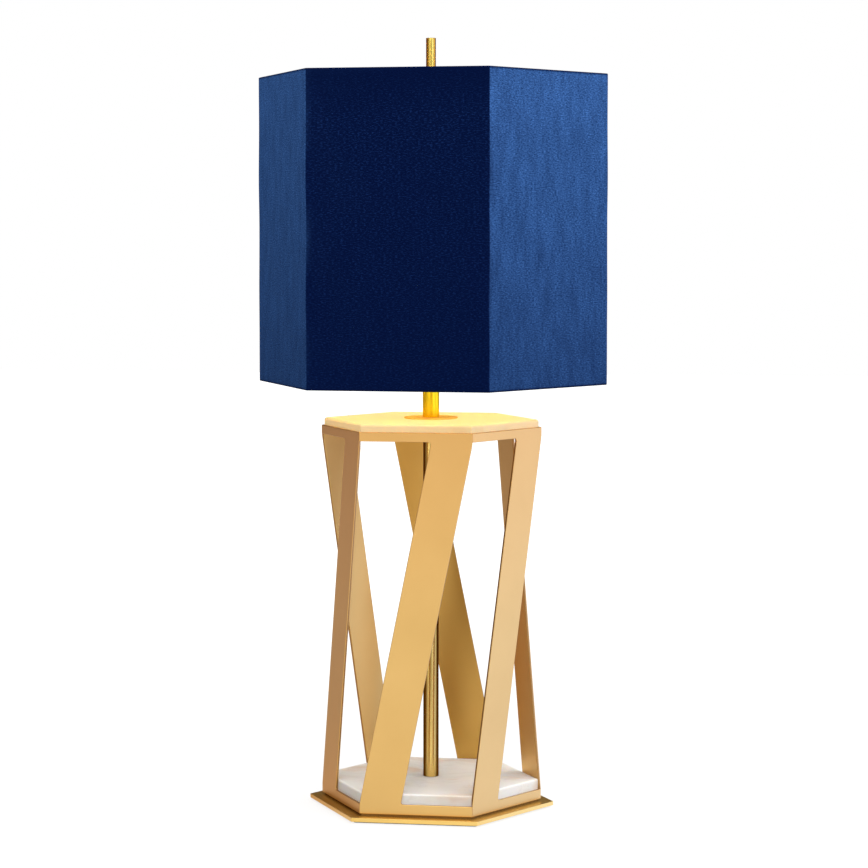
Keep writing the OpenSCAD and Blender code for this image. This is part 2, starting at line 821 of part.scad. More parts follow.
// Springy tongue that the tip of the bulb presses on
module socket_contact() {
    slope = atan(contact_rise / contact_slope_x);
    set_back = contact_t * tan(slope / 2);
    bend_x = -contact_bend_x;
    top_x = bend_x + contact_slope_x;
    color(BRASS) translate([0, contact_w / 2, contact_floor_z])
        rotate([90, 0, 0])
            linear_extrude(contact_w)
                polygon([
                    [-contact_foot_x, 0],
                    [bend_x, 0],
                    [top_x, contact_rise],
                    [contact_tip_x, contact_rise],
                    [contact_tip_x, contact_rise + contact_t],
                    [top_x - set_back, contact_rise + contact_t],
                    [bend_x - set_back, contact_t],
                    [-contact_foot_x, contact_t]
                ]);
}

// Shaft with a tapered knob, pointing to the front
module switch_key() {
    shaft_r = key_shaft_d / 2;
    knob_r = key_knob_d / 2;
    knob_end_y = key_knob_y + key_knob_h;
    color(BLACK) translate([0, 0, key_z]) rotate([90, 0, 0]) rotate_extrude() polygon([
        [0, key_inner_y + key_end_gap],
        [shaft_r, key_inner_y + key_end_gap],
        [shaft_r, key_knob_y],
        [knob_r - 2 * key_edge, key_knob_y],
        [knob_r - key_edge, key_knob_y + key_edge],
        [knob_r, knob_end_y - key_edge],
        [knob_r - key_edge, knob_end_y],
        [0, knob_end_y]
    ]);
}

module bulb_tip() {
    color(STEEL) translate([0, 0, bulb_tip_z]) rotate_extrude() polygon([
        [0, 0], [bulb_tip_d / 2 - bulb_tip_h, 0], [bulb_tip_d / 2, bulb_tip_h], [0, bulb_tip_h]
    ]);
}

module bulb_insulator() {
    color(BLACK) translate([0, 0, bulb_insulator_z])
        cylinder(h = bulb_insulator_h, r1 = bulb_tip_d / 2, r2 = bulb_neck_r - bulb_cap_t);
}

module bulb_cap() {
    color(STEEL) translate([0, 0, bulb_cap_z]) ring(bulb_neck_r - bulb_cap_t, bulb_neck_r, bulb_cap_h);
    color(STEEL) translate([0, 0, bulb_cap_z]) cylinder(h = bulb_cap_t, r = bulb_neck_r);
}

// Outline of the globe taken in by an inset: a neck that swells into a ball
function globe_outline(inset) =
    let (
        ball_r = bulb_d / 2 - inset,
        join = [ball_r * cos(45), bulb_centre_h - ball_r * sin(45)],
        foot = [bulb_neck_r - inset, 0]
    )
    concat(
        cubic(foot, foot + [0, join[1] / 2], join - [1, 1] * join[1] / 4, join, PROFILE_STEPS),
        [for (i = [1:PROFILE_STEPS]) let (a = 135 * i / PROFILE_STEPS - 45)
            [i < PROFILE_STEPS ? ball_r * cos(a) : 0, bulb_centre_h + ball_r * sin(a)]]
    );

module bulb_globe() {
    color(WHITE) translate([0, 0, bulb_globe_z]) rotate_extrude()
        polygon(concat(globe_outline(0), reversed(globe_outline(bulb_glass_t))));
}

// Everything that turns with the shade
module on_shade() {
    rotate([0, 0, shade_turn]) children();
}

module shade_cover() {
    color(VELVET) on_shade() translate([0, 0, shade_z]) hexagon_wall(shade_flat, cover_t, shade_h);
}

module shade_liner() {
    color(WHITE) on_shade() translate([0, 0, shade_z]) hexagon_wall(liner_flat, shade_liner_t, shade_h);
}

module shade_top_ring() {
    color(BRASS) on_shade() translate([0, 0, shade_top_z - ring_inset - ring_wire_d / 2])
        hexagon_wire(ring_flat, ring_wire_d);
}

module shade_bottom_ring() {
    color(BRASS) on_shade() translate([0, 0, shade_z + ring_inset + ring_wire_d / 2])
        hexagon_wire(ring_flat, ring_wire_d);
}

module spider_hub() {
    color(BRASS) on_shade() translate([0, 0, hub_z])
        ring(stud_d / 2 + hub_gap, spider_hub_d / 2, spider_hub_t);
}

// Straight arms that rise from the rim of the hub to the corners of the top ring
module shade_spider() {
    inner_x = spider_hub_d / 2 - spider_wire_d;
    outer_x = corner(ring_flat);
    arm_rise = fitter_drop - ring_inset - ring_wire_d / 2 - spider_hub_t / 2;
    arm_tilt = atan(arm_rise / (outer_x - inner_x));
    color(BRASS) on_shade() translate([0, 0, hub_z]) difference() {
        intersection() {
            around(spider_arm_count) translate([inner_x, 0, spider_hub_t / 2])
                rotate([0, 90 - arm_tilt, 0]) cylinder(h = outer_x, d = spider_wire_d);
            hexagon_plate(ring_flat - ring_wire_d / 2 - shade_gap, fitter_drop);
        }
        translate([0, 0, -CUT]) cylinder(h = fitter_drop + 2 * CUT, d = spider_hub_d);
    }
}

module finial_washer() {
    color(BRASS) translate([0, 0, finial_washer_z])
        ring(stud_d / 2 + hub_gap, finial_washer_d / 2, finial_washer_t);
}

// Plain rod with beveled edges and a blind hole for the stud
module finial() {
    r = finial_d / 2;
    bore_h = hub_z + stud_h + finial_bore_spare - finial_z;
    color(BRASS) translate([0, 0, finial_z]) difference() {
        rotate_extrude() polygon([
            [0, 0],
            [r - finial_bevel, 0],
            [r, finial_bevel],
            [r, finial_h - finial_bevel],
            [r - finial_bevel, finial_h],
            [0, finial_h]
        ]);
        translate([0, 0, -CUT]) cylinder(h = bore_h + CUT, d = stud_d + 2 * finial_thread_gap);
    }
}

base_felt();
base_plate();
base_screws();
cage_floor();
for (i = [1:SIDES]) cage_panel(i);
cage_roof();
base_marble();
top_marble();
cord_bushing();
pipe_nut();
pipe_washer();
threaded_pipe();
lower_stem();
lower_stem_bushes();
rosette();
upper_stem();
upper_stem_bushes();
stem_cap();
harp_saddle();
harp_bow();
harp_stud();
harp_sleeve(-1);  // harp_sleeve_left
harp_sleeve(1);  // harp_sleeve_right
socket_cap();
socket_shell();
socket_liner();
socket_body();
terminal_screws();
socket_screw_shell();
socket_contact();
switch_key();
bulb_tip();
bulb_insulator();
bulb_cap();
bulb_globe();
shade_cover();
shade_liner();
shade_top_ring();
shade_bottom_ring();
spider_hub();
shade_spider();
finial_washer();
finial();
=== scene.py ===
"""Looks of a table lamp: a six-sided brass cage between marble slabs, with a velvet shade and a lit bulb.

Sizes are in millimetres and turn into metres when a mesh is made. Each new piece is a surface worked out
with numpy: a grid of points over two parameters, or a profile carried along a path. Its place comes from the
solid that it stands for.
"""

import logging
import math
from dataclasses import dataclass, field
from enum import Enum
from functools import reduce
from typing import Any

import bmesh
import bpy
import numpy as np
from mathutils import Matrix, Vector


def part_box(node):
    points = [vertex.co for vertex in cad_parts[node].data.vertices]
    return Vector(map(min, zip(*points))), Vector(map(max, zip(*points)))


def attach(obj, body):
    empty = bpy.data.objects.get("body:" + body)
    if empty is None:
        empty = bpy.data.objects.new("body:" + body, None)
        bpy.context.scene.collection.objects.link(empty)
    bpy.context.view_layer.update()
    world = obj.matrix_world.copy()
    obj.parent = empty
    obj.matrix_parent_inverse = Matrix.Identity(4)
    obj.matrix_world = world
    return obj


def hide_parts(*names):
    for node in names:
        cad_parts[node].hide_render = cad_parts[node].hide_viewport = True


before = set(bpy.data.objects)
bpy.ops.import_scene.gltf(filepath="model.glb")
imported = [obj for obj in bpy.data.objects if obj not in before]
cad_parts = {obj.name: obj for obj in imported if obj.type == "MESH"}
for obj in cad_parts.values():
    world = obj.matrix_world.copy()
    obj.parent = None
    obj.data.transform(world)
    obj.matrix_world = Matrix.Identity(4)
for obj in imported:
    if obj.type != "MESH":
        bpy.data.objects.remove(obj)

LOG = logging.getLogger("lamp")
MM = 0.001
SIDES = 6
HALF_SIDE = math.pi / SIDES
WELD = 1e-5
PIECE_WELD = 1e-7
CRISP_DEG = 35.0
PIECE_CRISP_DEG = 40.0
FLAT_DEG = 0.5
BEVEL_DEG = 25.0
FRAME_WIDTH = 36.0

Triple = tuple[float, float, float]
Colour = Triple
Socket = bpy.types.NodeSocket

WHITE: Colour = (1.0, 1.0, 1.0)
EVEN: Triple = (1.0, 1.0, 1.0)


class Axis(Enum):
    """Direction of a turned piece's axis, as the three vectors across, across and along it."""

    UP = ((1, 0, 0), (0, 1, 0), (0, 0, 1))
    FRONT = ((1, 0, 0), (0, 0, 1), (0, -1, 0))
    BACK = ((0, 0, 1), (1, 0, 0), (0, 1, 0))


class Pattern(Enum):
    """What a pattern is laid out on: the frame's own axes, or the piece's own surface."""

    SPACE = "Object"
    SURFACE = "UV"


# Shapes


@dataclass
class Patch:
    """A grid of points over two parameters: rows along the profile, columns along the path.

    Attributes:
        points: Array of shape (rows, columns, 3), in millimetres.
        wrap_rows: Whether the last row joins the first.
        wrap_columns: Whether the last column joins the first.
    """

    points: np.ndarray
    wrap_rows: bool = False
    wrap_columns: bool = True

    def _cells(self) -> tuple[np.ndarray, np.ndarray]:
        """Finds the cells of the grid.

        Returns:
            The row and the column of every cell, as two flat arrays.
        """
        rows, columns = self.points.shape[:2]
        i = np.arange(rows if self.wrap_rows else rows - 1)
        j = np.arange(columns if self.wrap_columns else columns - 1)
        a, b = np.meshgrid(i, j, indexing="ij")
        return a.ravel(), b.ravel()

    def quads(self) -> np.ndarray:
        """Joins the points to faces, turned so that a wall that rises along its rows faces outwards.

        Returns:
            The four corners of every cell, shape (cells, 4).
        """
        rows, columns = self.points.shape[:2]
        a, b = self._cells()
        b2, lower, upper = (b + 1) % columns, a * columns, (a + 1) % rows * columns
        return np.stack([lower + b, lower + b2, upper + b2, upper + b], axis=1)

    def corner_uvs(self) -> np.ndarray:
        """Measures the surface in metres along its longest row and its first column.

        Returns:
            The pair (u, v) for every corner of every cell.
        """
        a, b = self._cells()
        across = np.linalg.norm(np.diff(self.points, axis=1, append=self.points[:, :1]), axis=2)
        along = np.linalg.norm(np.diff(self.points, axis=0, append=self.points[:1]), axis=2)
        longest = across[np.argmax(across.sum(axis=1))]
        u, v = (np.concatenate([[0.0], np.cumsum(d)]) * MM for d in (longest, along[:, 0]))
        corners = [u[b], v[a], u[b + 1], v[a], u[b + 1], v[a + 1], u[b], v[a + 1]]
        return np.stack(corners, axis=1).reshape(-1, 2)


def round_angles(count: int) -> np.ndarray:
    """Returns evenly spaced angles round a full turn."""
    return np.linspace(0, 2 * math.pi, count, endpoint=False)


def on_circle(angles: np.ndarray) -> np.ndarray:
    """Returns the points (cos a, sin a), with X and Y along a new last axis."""
    return np.stack([np.cos(angles), np.sin(angles)], axis=-1)


def thread_wave(heights: np.ndarray, pitch: float, segments: int) -> np.ndarray:
    """Returns the wave of a thread, cos(2 pi z / pitch - a), of shape (heights, segments)."""
    return np.cos(2 * math.pi * heights[:, None] / pitch - round_angles(segments))


def upright(radius: float, heights: np.ndarray) -> np.ndarray:
    """Returns the profile (r, h) of an upright wall."""
    return np.stack([np.full(len(heights), radius), heights], axis=1)


def raised(plan: np.ndarray, heights: np.ndarray) -> np.ndarray:
    """Returns a plan of shape (rows, columns, 2) with each row at its height."""
    level = np.broadcast_to(heights[:, None, None], (*plan.shape[:2], 1))
    return np.concatenate([plan, level], axis=2)


def softened(corners: list[tuple[float, float]], radius: float, steps: int = 4) -> np.ndarray:
    """Rounds the inner corners of an open outline.

    Corner P between its neighbours becomes (1-t)^2 A + 2t(1-t) P + t^2 B, with A and B a radius before and
    after P, but never past the middle of a side.

    Args:
        corners: Points of the outline.
        radius: How far the rounding reaches from each corner.
        steps: Number of pieces that each rounding has.

    Returns:
        The points of the rounded outline, shape (n, 2).
    """
    p = np.asarray(corners, float)
    corner, ends = p[1:-1], []
    for away in (p[:-2] - corner, p[2:] - corner):
        length = np.linalg.norm(away, axis=1, keepdims=True)
        ends.append((corner + away * np.minimum(radius / length, 0.5))[:, None])
    t = np.linspace(0, 1, steps + 1)[None, :, None]
    curve = (1 - t) ** 2 * ends[0] + 2 * t * (1 - t) * corner[:, None] + t**2 * ends[1]
    return np.concatenate([p[:1], curve.reshape(-1, 2), p[-1:]])


def rounded_outline(outside: list[tuple[float, float]], edge: float, bore: float = 0.0) -> np.ndarray:
    """Closes an outer profile along the axis or a bore, and rounds its edges.

    Args:
        outside: Points (r, h) of the outer profile, from the bottom to the top.
        edge: Rounding of the edges.
        bore: Radius of the bore, or 0 for a solid piece.

    Returns:
        The points of the outline, shape (n, 2).
    """
    low, high = outside[0][1], outside[-1][1]
    middle = [(bore, (low + high) / 2)] if bore else []
    return softened([*middle, (bore, low), *outside, (bore, high), *middle], edge)


def refined(outline: np.ndarray, step: float) -> np.ndarray:
    """Adds points along an outline so that no two are further apart than a step.

    Args:
        outline: Points of shape (n, 2).
        step: The longest distance left between two points.

    Returns:
        The same outline with more points.
    """
    gaps = np.linalg.norm(np.diff(outline, axis=0), axis=1)
    at = np.concatenate([[0.0], np.cumsum(gaps)])
    counts = np.maximum(1, np.ceil(gaps / step)).astype(int)
    start, span = np.repeat(at[:-1], counts), np.repeat(gaps / counts, counts)
    index = np.arange(counts.sum()) - np.repeat(np.cumsum(counts) - counts, counts)
    s = np.concatenate([start + span * index, at[-1:]])
    return np.stack([np.interp(s, at, outline[:, k]) for k in range(2)], axis=1)


def turned(profile: np.ndarray, segments: int = 96, centre: Triple = (0, 0, 0), axis: Axis = Axis.UP,
           ripple: np.ndarray | None = None, closed: bool = False) -> Patch:
    """Turns a profile round an axis: P(i, a) = centre + r_i cos(a) X + r_i sin(a) Y + h_i Z.

    Args:
        profile: Points (r, h) of shape (n, 2), running so that the outside rises.
        segments: Number of steps round the axis.
        centre: Point that h is measured from.
        axis: Direction of the axis.
        ripple: Amount added to r, of shape (n, segments).
        closed: Whether the last profile point joins the first.

    Returns:
        The surface as a patch.
    """
    x, y, z = (np.array(v, float) for v in axis.value)
    around = on_circle(round_angles(segments)) @ np.stack([x, y])
    r = profile[:, :1] + (np.zeros(segments) if ripple is None else ripple)
    points = np.array(centre, float) + r[..., None] * around + profile[:, 1, None, None] * z
    return Patch(points, wrap_rows=closed)


def bent_tube(path: np.ndarray, radius: float, flat_normal: Triple, sides: int = 16) -> Patch:
    """Carries a circle along a path in one plane: P(i, a) = path_i + r (cos(a) B_i + sin(a) N), ends closed.

    Args:
        path: Points of shape (n, 3).
        radius: Radius of the tube.
        flat_normal: Unit normal N of the path's plane; B_i is square to N and to the path.
        sides: Number of steps round the tube.

    Returns:
        The surface as a patch, with each end drawn together at its middle.
    """
    along = np.gradient(path, axis=0)
    along /= np.linalg.norm(along, axis=1, keepdims=True)
    normal = np.array(flat_normal, float)
    beside = np.cross(normal, along)
    beside = np.concatenate([beside[:1], beside, beside[-1:]])[:, None]
    spine = np.concatenate([path[:1], path, path[-1:]])[:, None]
    size = np.concatenate([[0.0, 0.8], np.full(len(path) - 2, 1.0), [0.8, 0.0]]) * radius
    a = round_angles(sides)[None, :, None]
    return Patch(spine + size[:, None, None] * (np.cos(a) * beside + np.sin(a) * normal))


@dataclass
class HexagonLoops:
    """Six-sided loops with round corners, one for each row of a profile.

    Corner k has its centre (flat - rho) / cos 30 out along 60 k degrees and an arc of radius rho; straight
    sides join the arcs.

    Attributes:
        turn_deg: Turn of the corners from +X.
        arc_steps: Pieces of each corner.
        side_steps: Pieces of each side.
    """

    turn_deg: float = 0.0
    arc_steps: int = 6
    side_steps: int = 30

    def _angles(self) -> tuple[np.ndarray, np.ndarray]:
        """Returns the angle of each corner, and the angles along each corner's arc."""
        corner = np.radians(360 / SIDES * np.arange(SIDES) + self.turn_deg)
        return corner, corner[:, None] + np.linspace(-HALF_SIDE, HALF_SIDE, self.arc_steps + 1)

    def normals(self) -> np.ndarray:
        """Finds the outward directions.

        Returns:
            The direction at each point of a loop, shape (columns, 2).
        """
        corner, arcs = self._angles()
        sides = np.repeat(corner[:, None] + HALF_SIDE, self.side_steps - 1, axis=1)
        return on_circle(np.concatenate([arcs, sides], axis=1).ravel())

    def loops(self, flats: np.ndarray, rho: np.ndarray) -> np.ndarray:
        """Lays out the loops.

        Args:
            flats: Distance from the axis to a side, for each row.
            rho: Corner radius, for each row.

        Returns:
            Points of shape (rows, columns, 2).
        """
        corner, arc = self._angles()
        out = ((flats - rho) / math.cos(HALF_SIDE))[:, None, None, None]
        arcs = out * on_circle(corner)[:, None] + rho[:, None, None, None] * on_circle(arc)
        s = np.linspace(0, 1, self.side_steps + 1)[1:-1, None]
        sides = arcs[:, :, -1:] * (1 - s) + np.roll(arcs, -1, axis=1)[:, :, :1] * s
        return np.concatenate([arcs, sides], axis=2).reshape(len(flats), -1, 2)


# Pieces


def placed(name: str, data: bpy.types.ID) -> bpy.types.Object:
    """Puts a mesh, a camera or a light into the scene.

    Args:
        name: Name of the object.
        data: The mesh, the camera or the light.

    Returns:
        The new object.
    """
    made = bpy.data.objects.new(name, data)
    bpy.context.scene.collection.objects.link(made)
    return made


@dataclass
class Piece:
    """A new piece of the lamp, made of patches.

    Attributes:
        name: Name of the piece.
        body: Moving body that it rides on.
        slot: Finish slot of the record; not used.
        finish: Finish that it is dressed in.
        patches: Surfaces that it is made of.
        stands_for: Solids that it replaces.
    """

    name: str
    body: str
    slot: str
    finish: "Finish"
    patches: list[Patch]
    stands_for: tuple[str, ...] = ()

    def build(self) -> bpy.types.Object:
        """Makes the mesh object, dresses it and ties it to its body.

        Returns:
            The new object.
        """
        sizes = [p.points.shape[0] * p.points.shape[1] for p in self.patches]
        first = np.concatenate([[0], np.cumsum(sizes)[:-1]])
        points = np.concatenate([p.points.reshape(-1, 3) for p in self.patches]) * MM
        quads = np.concatenate([p.quads() + k for p, k in zip(self.patches, first)])
        uvs = np.concatenate([p.corner_uvs() for p in self.patches])
        mesh = bpy.data.meshes.new(self.name)
        mesh.from_pydata(points.tolist(), [], quads.tolist())
        mesh.uv_layers.new(name="surface").data.foreach_set("uv", uvs.astype(np.float32).ravel())
        work = bmesh.new()
        work.from_mesh(mesh)
        bmesh.ops.remove_doubles(work, verts=work.verts, dist=PIECE_WELD)
        work.to_mesh(mesh)
        work.free()
        mesh.shade_smooth()
        mesh.set_sharp_from_angle(angle=math.radians(PIECE_CRISP_DEG))
        mesh.materials.append(self.finish.material())
        made = placed(self.name, mesh)
        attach(made, self.body)
        if self.stands_for:
            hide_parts(*self.stands_for)
        LOG.info("%s: %d faces on %s", self.name, len(mesh.polygons), self.body)
        return made


def node_box(node: str) -> tuple[np.ndarray, np.ndarray]:
    """Returns a solid's lowest and highest corners, in millimetres."""
    low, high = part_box(node)
    return np.array(low) / MM, np.array(high) / MM


def dress(finish: "Finish", *nodes: str) -> None:
    """Gives solids their finish.

    Args:
        finish: Finish that they are dressed in.
        *nodes: Names of the solids.
    """
    for name in nodes:
        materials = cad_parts[name].data.materials
        materials.clear()
        materials.append(finish.material())
        LOG.info("%s: dressed in %s", name, finish.name)


def ease_edges(width: float, *nodes: str, segments: int = 2) -> None:
    """Takes the edges off flat-sided solids: welds their triangles, joins the flats and bevels the rest.

    Args:
        width: Width of the bevel.
        *nodes: Names of the solids.
        segments: Number of steps in the bevel.
    """
    for name in nodes:
        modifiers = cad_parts[name].modifiers
        modifiers.new("weld", "WELD").merge_threshold = WELD
        flats = modifiers.new("flats", "DECIMATE")
        flats.decimate_type, flats.angle_limit = "DISSOLVE", math.radians(FLAT_DEG)
        bevel = modifiers.new("edges", "BEVEL")
        bevel.width, bevel.segments = width * MM, segments
        bevel.limit_method, bevel.angle_limit = "ANGLE", math.radians(BEVEL_DEG)


def smoothing() -> bpy.types.GeometryNodeTree:
    """Makes the node tree that welds a solid's triangles and shades its round faces smooth.

    Returns:
        The node tree, made on first use.
    """
    found = bpy.data.node_groups.get("round faces")
    if found is not None:
        return found
    tree = bpy.data.node_groups.new("round faces", "GeometryNodeTree")
    for way in ("INPUT", "OUTPUT"):
        tree.interface.new_socket(name="Geometry", in_out=way, socket_type="NodeSocketGeometry")
    graph = Graph(tree)
    source = graph.node("NodeGroupInput").outputs[0]
    merged = graph.node("GeometryNodeMergeByDistance", {"Geometry": source, "Distance": WELD}).outputs[0]
    smooth = graph.node("GeometryNodeSetShadeSmooth", {"Geometry": merged, "Shade Smooth": True}).outputs[0]
    angle = graph.node("GeometryNodeInputMeshEdgeAngle").outputs[0]
    limits = {0: angle, 1: math.radians(CRISP_DEG)}
    steep = graph.node("FunctionNodeCompare", limits, operation="GREATER_THAN").outputs[0]
    edges = {"Geometry": smooth, "Selection": steep, "Shade Smooth": False}
    crisp = graph.node("GeometryNodeSetShadeSmooth", edges, domain="EDGE").outputs[0]
    graph.node("NodeGroupOutput", {0: crisp})
    return tree


def shade_round(*nodes: str) -> None:
    """Shades the round faces of solids smooth."""
    for name in nodes:
        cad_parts[name].modifiers.new("round faces", "NODES").node_group = smoothing()


# Node graphs and shared effects


class Graph:
    """A node tree with short calls that add a node, set it up and link it."""

    def __init__(self, tree: bpy.types.NodeTree) -> None:
        """Keeps the tree that nodes go into."""
        self.tree = tree

    @classmethod
    def fresh(cls, owner: bpy.types.Material | bpy.types.World) -> "Graph":
        """Empties the node tree of a material or a world.

        Args:
            owner: The material or the world.

        Returns:
            The empty graph.
        """
        owner.use_nodes = True
        owner.node_tree.nodes.clear()
        return cls(owner.node_tree)

    def node(self, kind: str, inputs: dict[str | int, Any] | None = None, **settings: Any) -> bpy.types.Node:
        """Adds a node.

        Args:
            kind: Blender's name for the kind of node.
            inputs: Value or linked socket for each input, by name or place.
            **settings: Properties of the node.

        Returns:
            The new node.
        """
        made = self.tree.nodes.new(kind)
        for key, value in settings.items():
            setattr(made, key, value)
        for key, value in (inputs or {}).items():
            socket = made.inputs[key]
            if isinstance(value, Socket):
                self.tree.links.new(value, socket)
            else:
                socket.default_value = (*value, 1.0) if socket.type == "RGBA" else value
        return made

    def math(self, operation: str, a: Any, b: Any = 0.0) -> Socket:
        """Returns the result of one sum on two numbers or sockets."""
        return self.node("ShaderNodeMath", {0: a, 1: b}, operation=operation).outputs[0]

    def product(self, *values: Any) -> Socket:
        """Returns the product of numbers or sockets."""
        return reduce(lambda a, b: self.math("MULTIPLY", a, b), values)

    def largest(self, *values: Any) -> Socket:
        """Returns the largest of numbers or sockets."""
        return reduce(lambda a, b: self.math("MAXIMUM", a, b), values)

    def rest(self, share: Any) -> Socket:
        """Returns what a share leaves of 1."""
        return self.math("SUBTRACT", 1.0, share)

    def part(self, vector: Socket, axis: str) -> Socket:
        """Returns the X, Y or Z of a vector."""
        return self.node("ShaderNodeSeparateXYZ", {0: vector}).outputs[axis]

    def vector(self, operation: str, a: Any, b: Any = EVEN, output: str = "Vector") -> Socket:
        """Returns the result of one sum on two vectors."""
        return self.node("ShaderNodeVectorMath", {0: a, 1: b}, operation=operation).outputs[output]

    def dot(self, vector: Socket, direction: Triple) -> Socket:
        """Returns how far a vector reaches in a direction."""
        return self.vector("DOT_PRODUCT", vector, direction, "Value")

    def spread(self, value: Any, low: Any, high: Any, to_low: float = 0.0, to_high: float = 1.0) -> Socket:
        """Returns a value carried from one range to another, held at its ends."""
        inputs = {"Value": value, "From Min": low, "From Max": high, "To Min": to_low, "To Max": to_high}
        return self.node("ShaderNodeMapRange", inputs).outputs[0]

    def climb(self, low: float, high: float, to_low: float = 0.0, to_high: float = 1.0) -> Socket:
        """Returns a value that changes between two heights, which are in millimetres."""
        return self.spread(self.part(self.place(), "Z"), low * MM, high * MM, to_low, to_high)

    def facing(self, low: float, high: float, blend: float = 0.5) -> Socket:
        """Returns 0 where the surface is seen straight on and 1 at a low angle."""
        return self.spread(self.node("ShaderNodeLayerWeight", {"Blend": blend}).outputs["Facing"], low, high)

    def mix(self, factor: Any, a: Any, b: Any, how: str = "MIX") -> Socket:
        """Returns one colour mixed with another."""
        inputs = {0: factor, 6: a, 7: b}
        return self.node("ShaderNodeMix", inputs, data_type="RGBA", blend_type=how).outputs[2]

    def place(self, pattern: Pattern = Pattern.SPACE) -> Socket:
        """Returns the coordinates that a pattern is laid out on."""
        return self.node("ShaderNodeTexCoord").outputs[pattern.value]

    def noise(self, where: Socket, scale: Any, detail: float, roughness: float = 0.5) -> bpy.types.Node:
        """Returns a node of cloudy noise."""
        inputs = {"Vector": where, "Scale": scale, "Detail": detail, "Roughness": roughness}
        return self.node("ShaderNodeTexNoise", inputs)

    def effect(self, name: str, **inputs: Any) -> Socket:
        """Places a shared effect.

        Args:
            name: Name of the effect.
            **inputs: Value or linked socket for each of its inputs.

        Returns:
            What the effect puts out.
        """
        given = {key.title(): value for key, value in inputs.items()}
        return self.node("ShaderNodeGroup", given, node_tree=effect_tree(name)).outputs[0]

    def surface(self, **inputs: Any) -> None:
        """Adds the surface shader and the material's output.

        Args:
            **inputs: Value or linked socket for each shader input, with _ for a blank.
        """
        given = {key.replace("_", " ").title().replace("Ior", "IOR"): value for key, value in inputs.items()}
        shader = self.node("ShaderNodeBsdfPrincipled", given)
        self.node("ShaderNodeOutputMaterial", {"Surface": shader.outputs[0]})

    def bump(self, height: Socket, strength: float, depth: float) -> Socket:
        """Returns normals raised by a height from 0 to 1, with its depth in millimetres."""
        inputs = {"Height": height, "Strength": strength, "Distance": depth * MM}
        return self.node("ShaderNodeBump", inputs).outputs[0]


def effect_tree(name: str) -> bpy.types.ShaderNodeTree:
    """Returns a shared effect's node group, made on first use.

    Grain puts out streaks that run along one direction. Mottle puts out a cloudy colour between two tones.
    Flecks puts out small separate specks.

    Args:
        name: One of grain, mottle and flecks.

    Returns:
        The node group.
    """
    found = bpy.data.node_groups.get(name)
    if found is not None:
        return found
    tree = bpy.data.node_groups.new(name, "ShaderNodeTree")
    graph = Graph(tree)
    streaks = {"Vector": "Vector", "Stretch": "Vector", "Scale": "Float"}
    clouds = {"Vector": "Vector", "Scale": "Float", "Low": "Color", "High": "Color"}
    inputs, output, kind = {
        "grain": (streaks, "Mask", "Float"),
        "mottle": (clouds, "Colour", "Color"),
        "flecks": ({**streaks, "Share": "Float"}, "Mask", "Float"),
    }[name]
    for socket, sort in inputs.items():
        tree.interface.new_socket(name=socket, in_out="INPUT", socket_type=f"NodeSocket{sort}")
    tree.interface.new_socket(name=output, in_out="OUTPUT", socket_type=f"NodeSocket{kind}")
    given = graph.node("NodeGroupInput").outputs
    if name == "mottle":
        cloud = graph.noise(given["Vector"], given["Scale"], 5.0).outputs[0]
        result = graph.mix(graph.spread(cloud, 0.3, 0.7), given["Low"], given["High"])
    else:
        drawn = graph.vector("MULTIPLY", given["Vector"], given["Stretch"])
        noise = graph.noise(drawn, given["Scale"], 3.0, 0.6).outputs[0]
        low, high = 0.25, 0.75
        if name == "flecks":
            low = graph.math("SUBTRACT", 0.75, graph.product(given["Share"], 0.5))
            high = graph.math("ADD", low, 0.18)
        result = graph.spread(noise, low, high)
    graph.node("NodeGroupOutput", {output: result})
    return tree


# Finishes


@dataclass(frozen=True)
class Finish:
    """A finish that builds its material once.

    Attributes:
        name: Name of the material.
    """

    name: str

    def material(self) -> bpy.types.Material:
        """Looks the material up, and builds it on first use.

        Returns:
            The material.
        """
        found = bpy.data.materials.get(self.name)
        if found is None:
            found = bpy.data.materials.new(self.name)
            self.paint(Graph.fresh(found))
        return found

    def paint(self, graph: Graph) -> None:
        """Lays out the material's nodes in its graph."""
        raise NotImplementedError


@dataclass(frozen=True)
class Metal(Finish):
    """Brushed or polished metal: two close tones in soft clouds, and a fine grain in gloss and relief.

    Attributes:
        tones: Darker and lighter colour.
        edge_tone: Tint of what it mirrors at a low angle.
        cloud: Clouds per metre.
        roughness: Smallest and largest roughness.
        grain: Streaks per metre.
        stretch: How the streaks are drawn along X, Y and Z, or along the surface.
        relief: Depth of the streaks, in millimetres.
        pattern: What the streaks are laid out on.
        coat: Share of clear lacquer.
        rim: Share of each colour that is left at a low angle: painted shade at the outline, for a dark
            reflection.
    """

    tones: tuple[Colour, Colour] = ((0.73, 0.425, 0.094), (0.78, 0.465, 0.114))
    edge_tone: Colour = (1.0, 0.82, 0.58)
    cloud: float = 14.0
    roughness: tuple[float, float] = (0.30, 0.34)
    grain: float = 2400.0
    stretch: Triple = (0.03, 0.03, 1.0)
    relief: float = 0.0012
    pattern: Pattern = Pattern.SPACE
    coat: float = 0.0
    rim: Colour = WHITE

    def tone(self, graph: Graph) -> Socket:
        """Returns the colour of the metal."""
        low, high = self.tones
        return graph.effect("mottle", vector=graph.place(self.pattern), scale=self.cloud, low=low, high=high)

    def paint(self, graph: Graph) -> None:
        """Lays out clouds, grain, gloss and relief.

        Args:
            graph: Graph of the material.
        """
        where, colour = graph.place(self.pattern), self.tone(graph)
        grain = graph.effect("grain", vector=where, stretch=self.stretch, scale=self.grain)
        # Painted shade: the colour darkens towards the outline, where it is seen at a low angle.
        if self.rim != WHITE:
            colour = graph.mix(graph.facing(0.06, 0.36), colour, self.rim, "MULTIPLY")
        graph.surface(
            base_color=colour,
            metallic=1.0,
            roughness=graph.spread(grain, 0.0, 1.0, *self.roughness),
            specular_tint=self.edge_tone,
            coat_weight=self.coat,
            coat_roughness=0.3,
            coat_ior=1.75,
            normal=graph.bump(grain, 0.5, self.relief),
        )


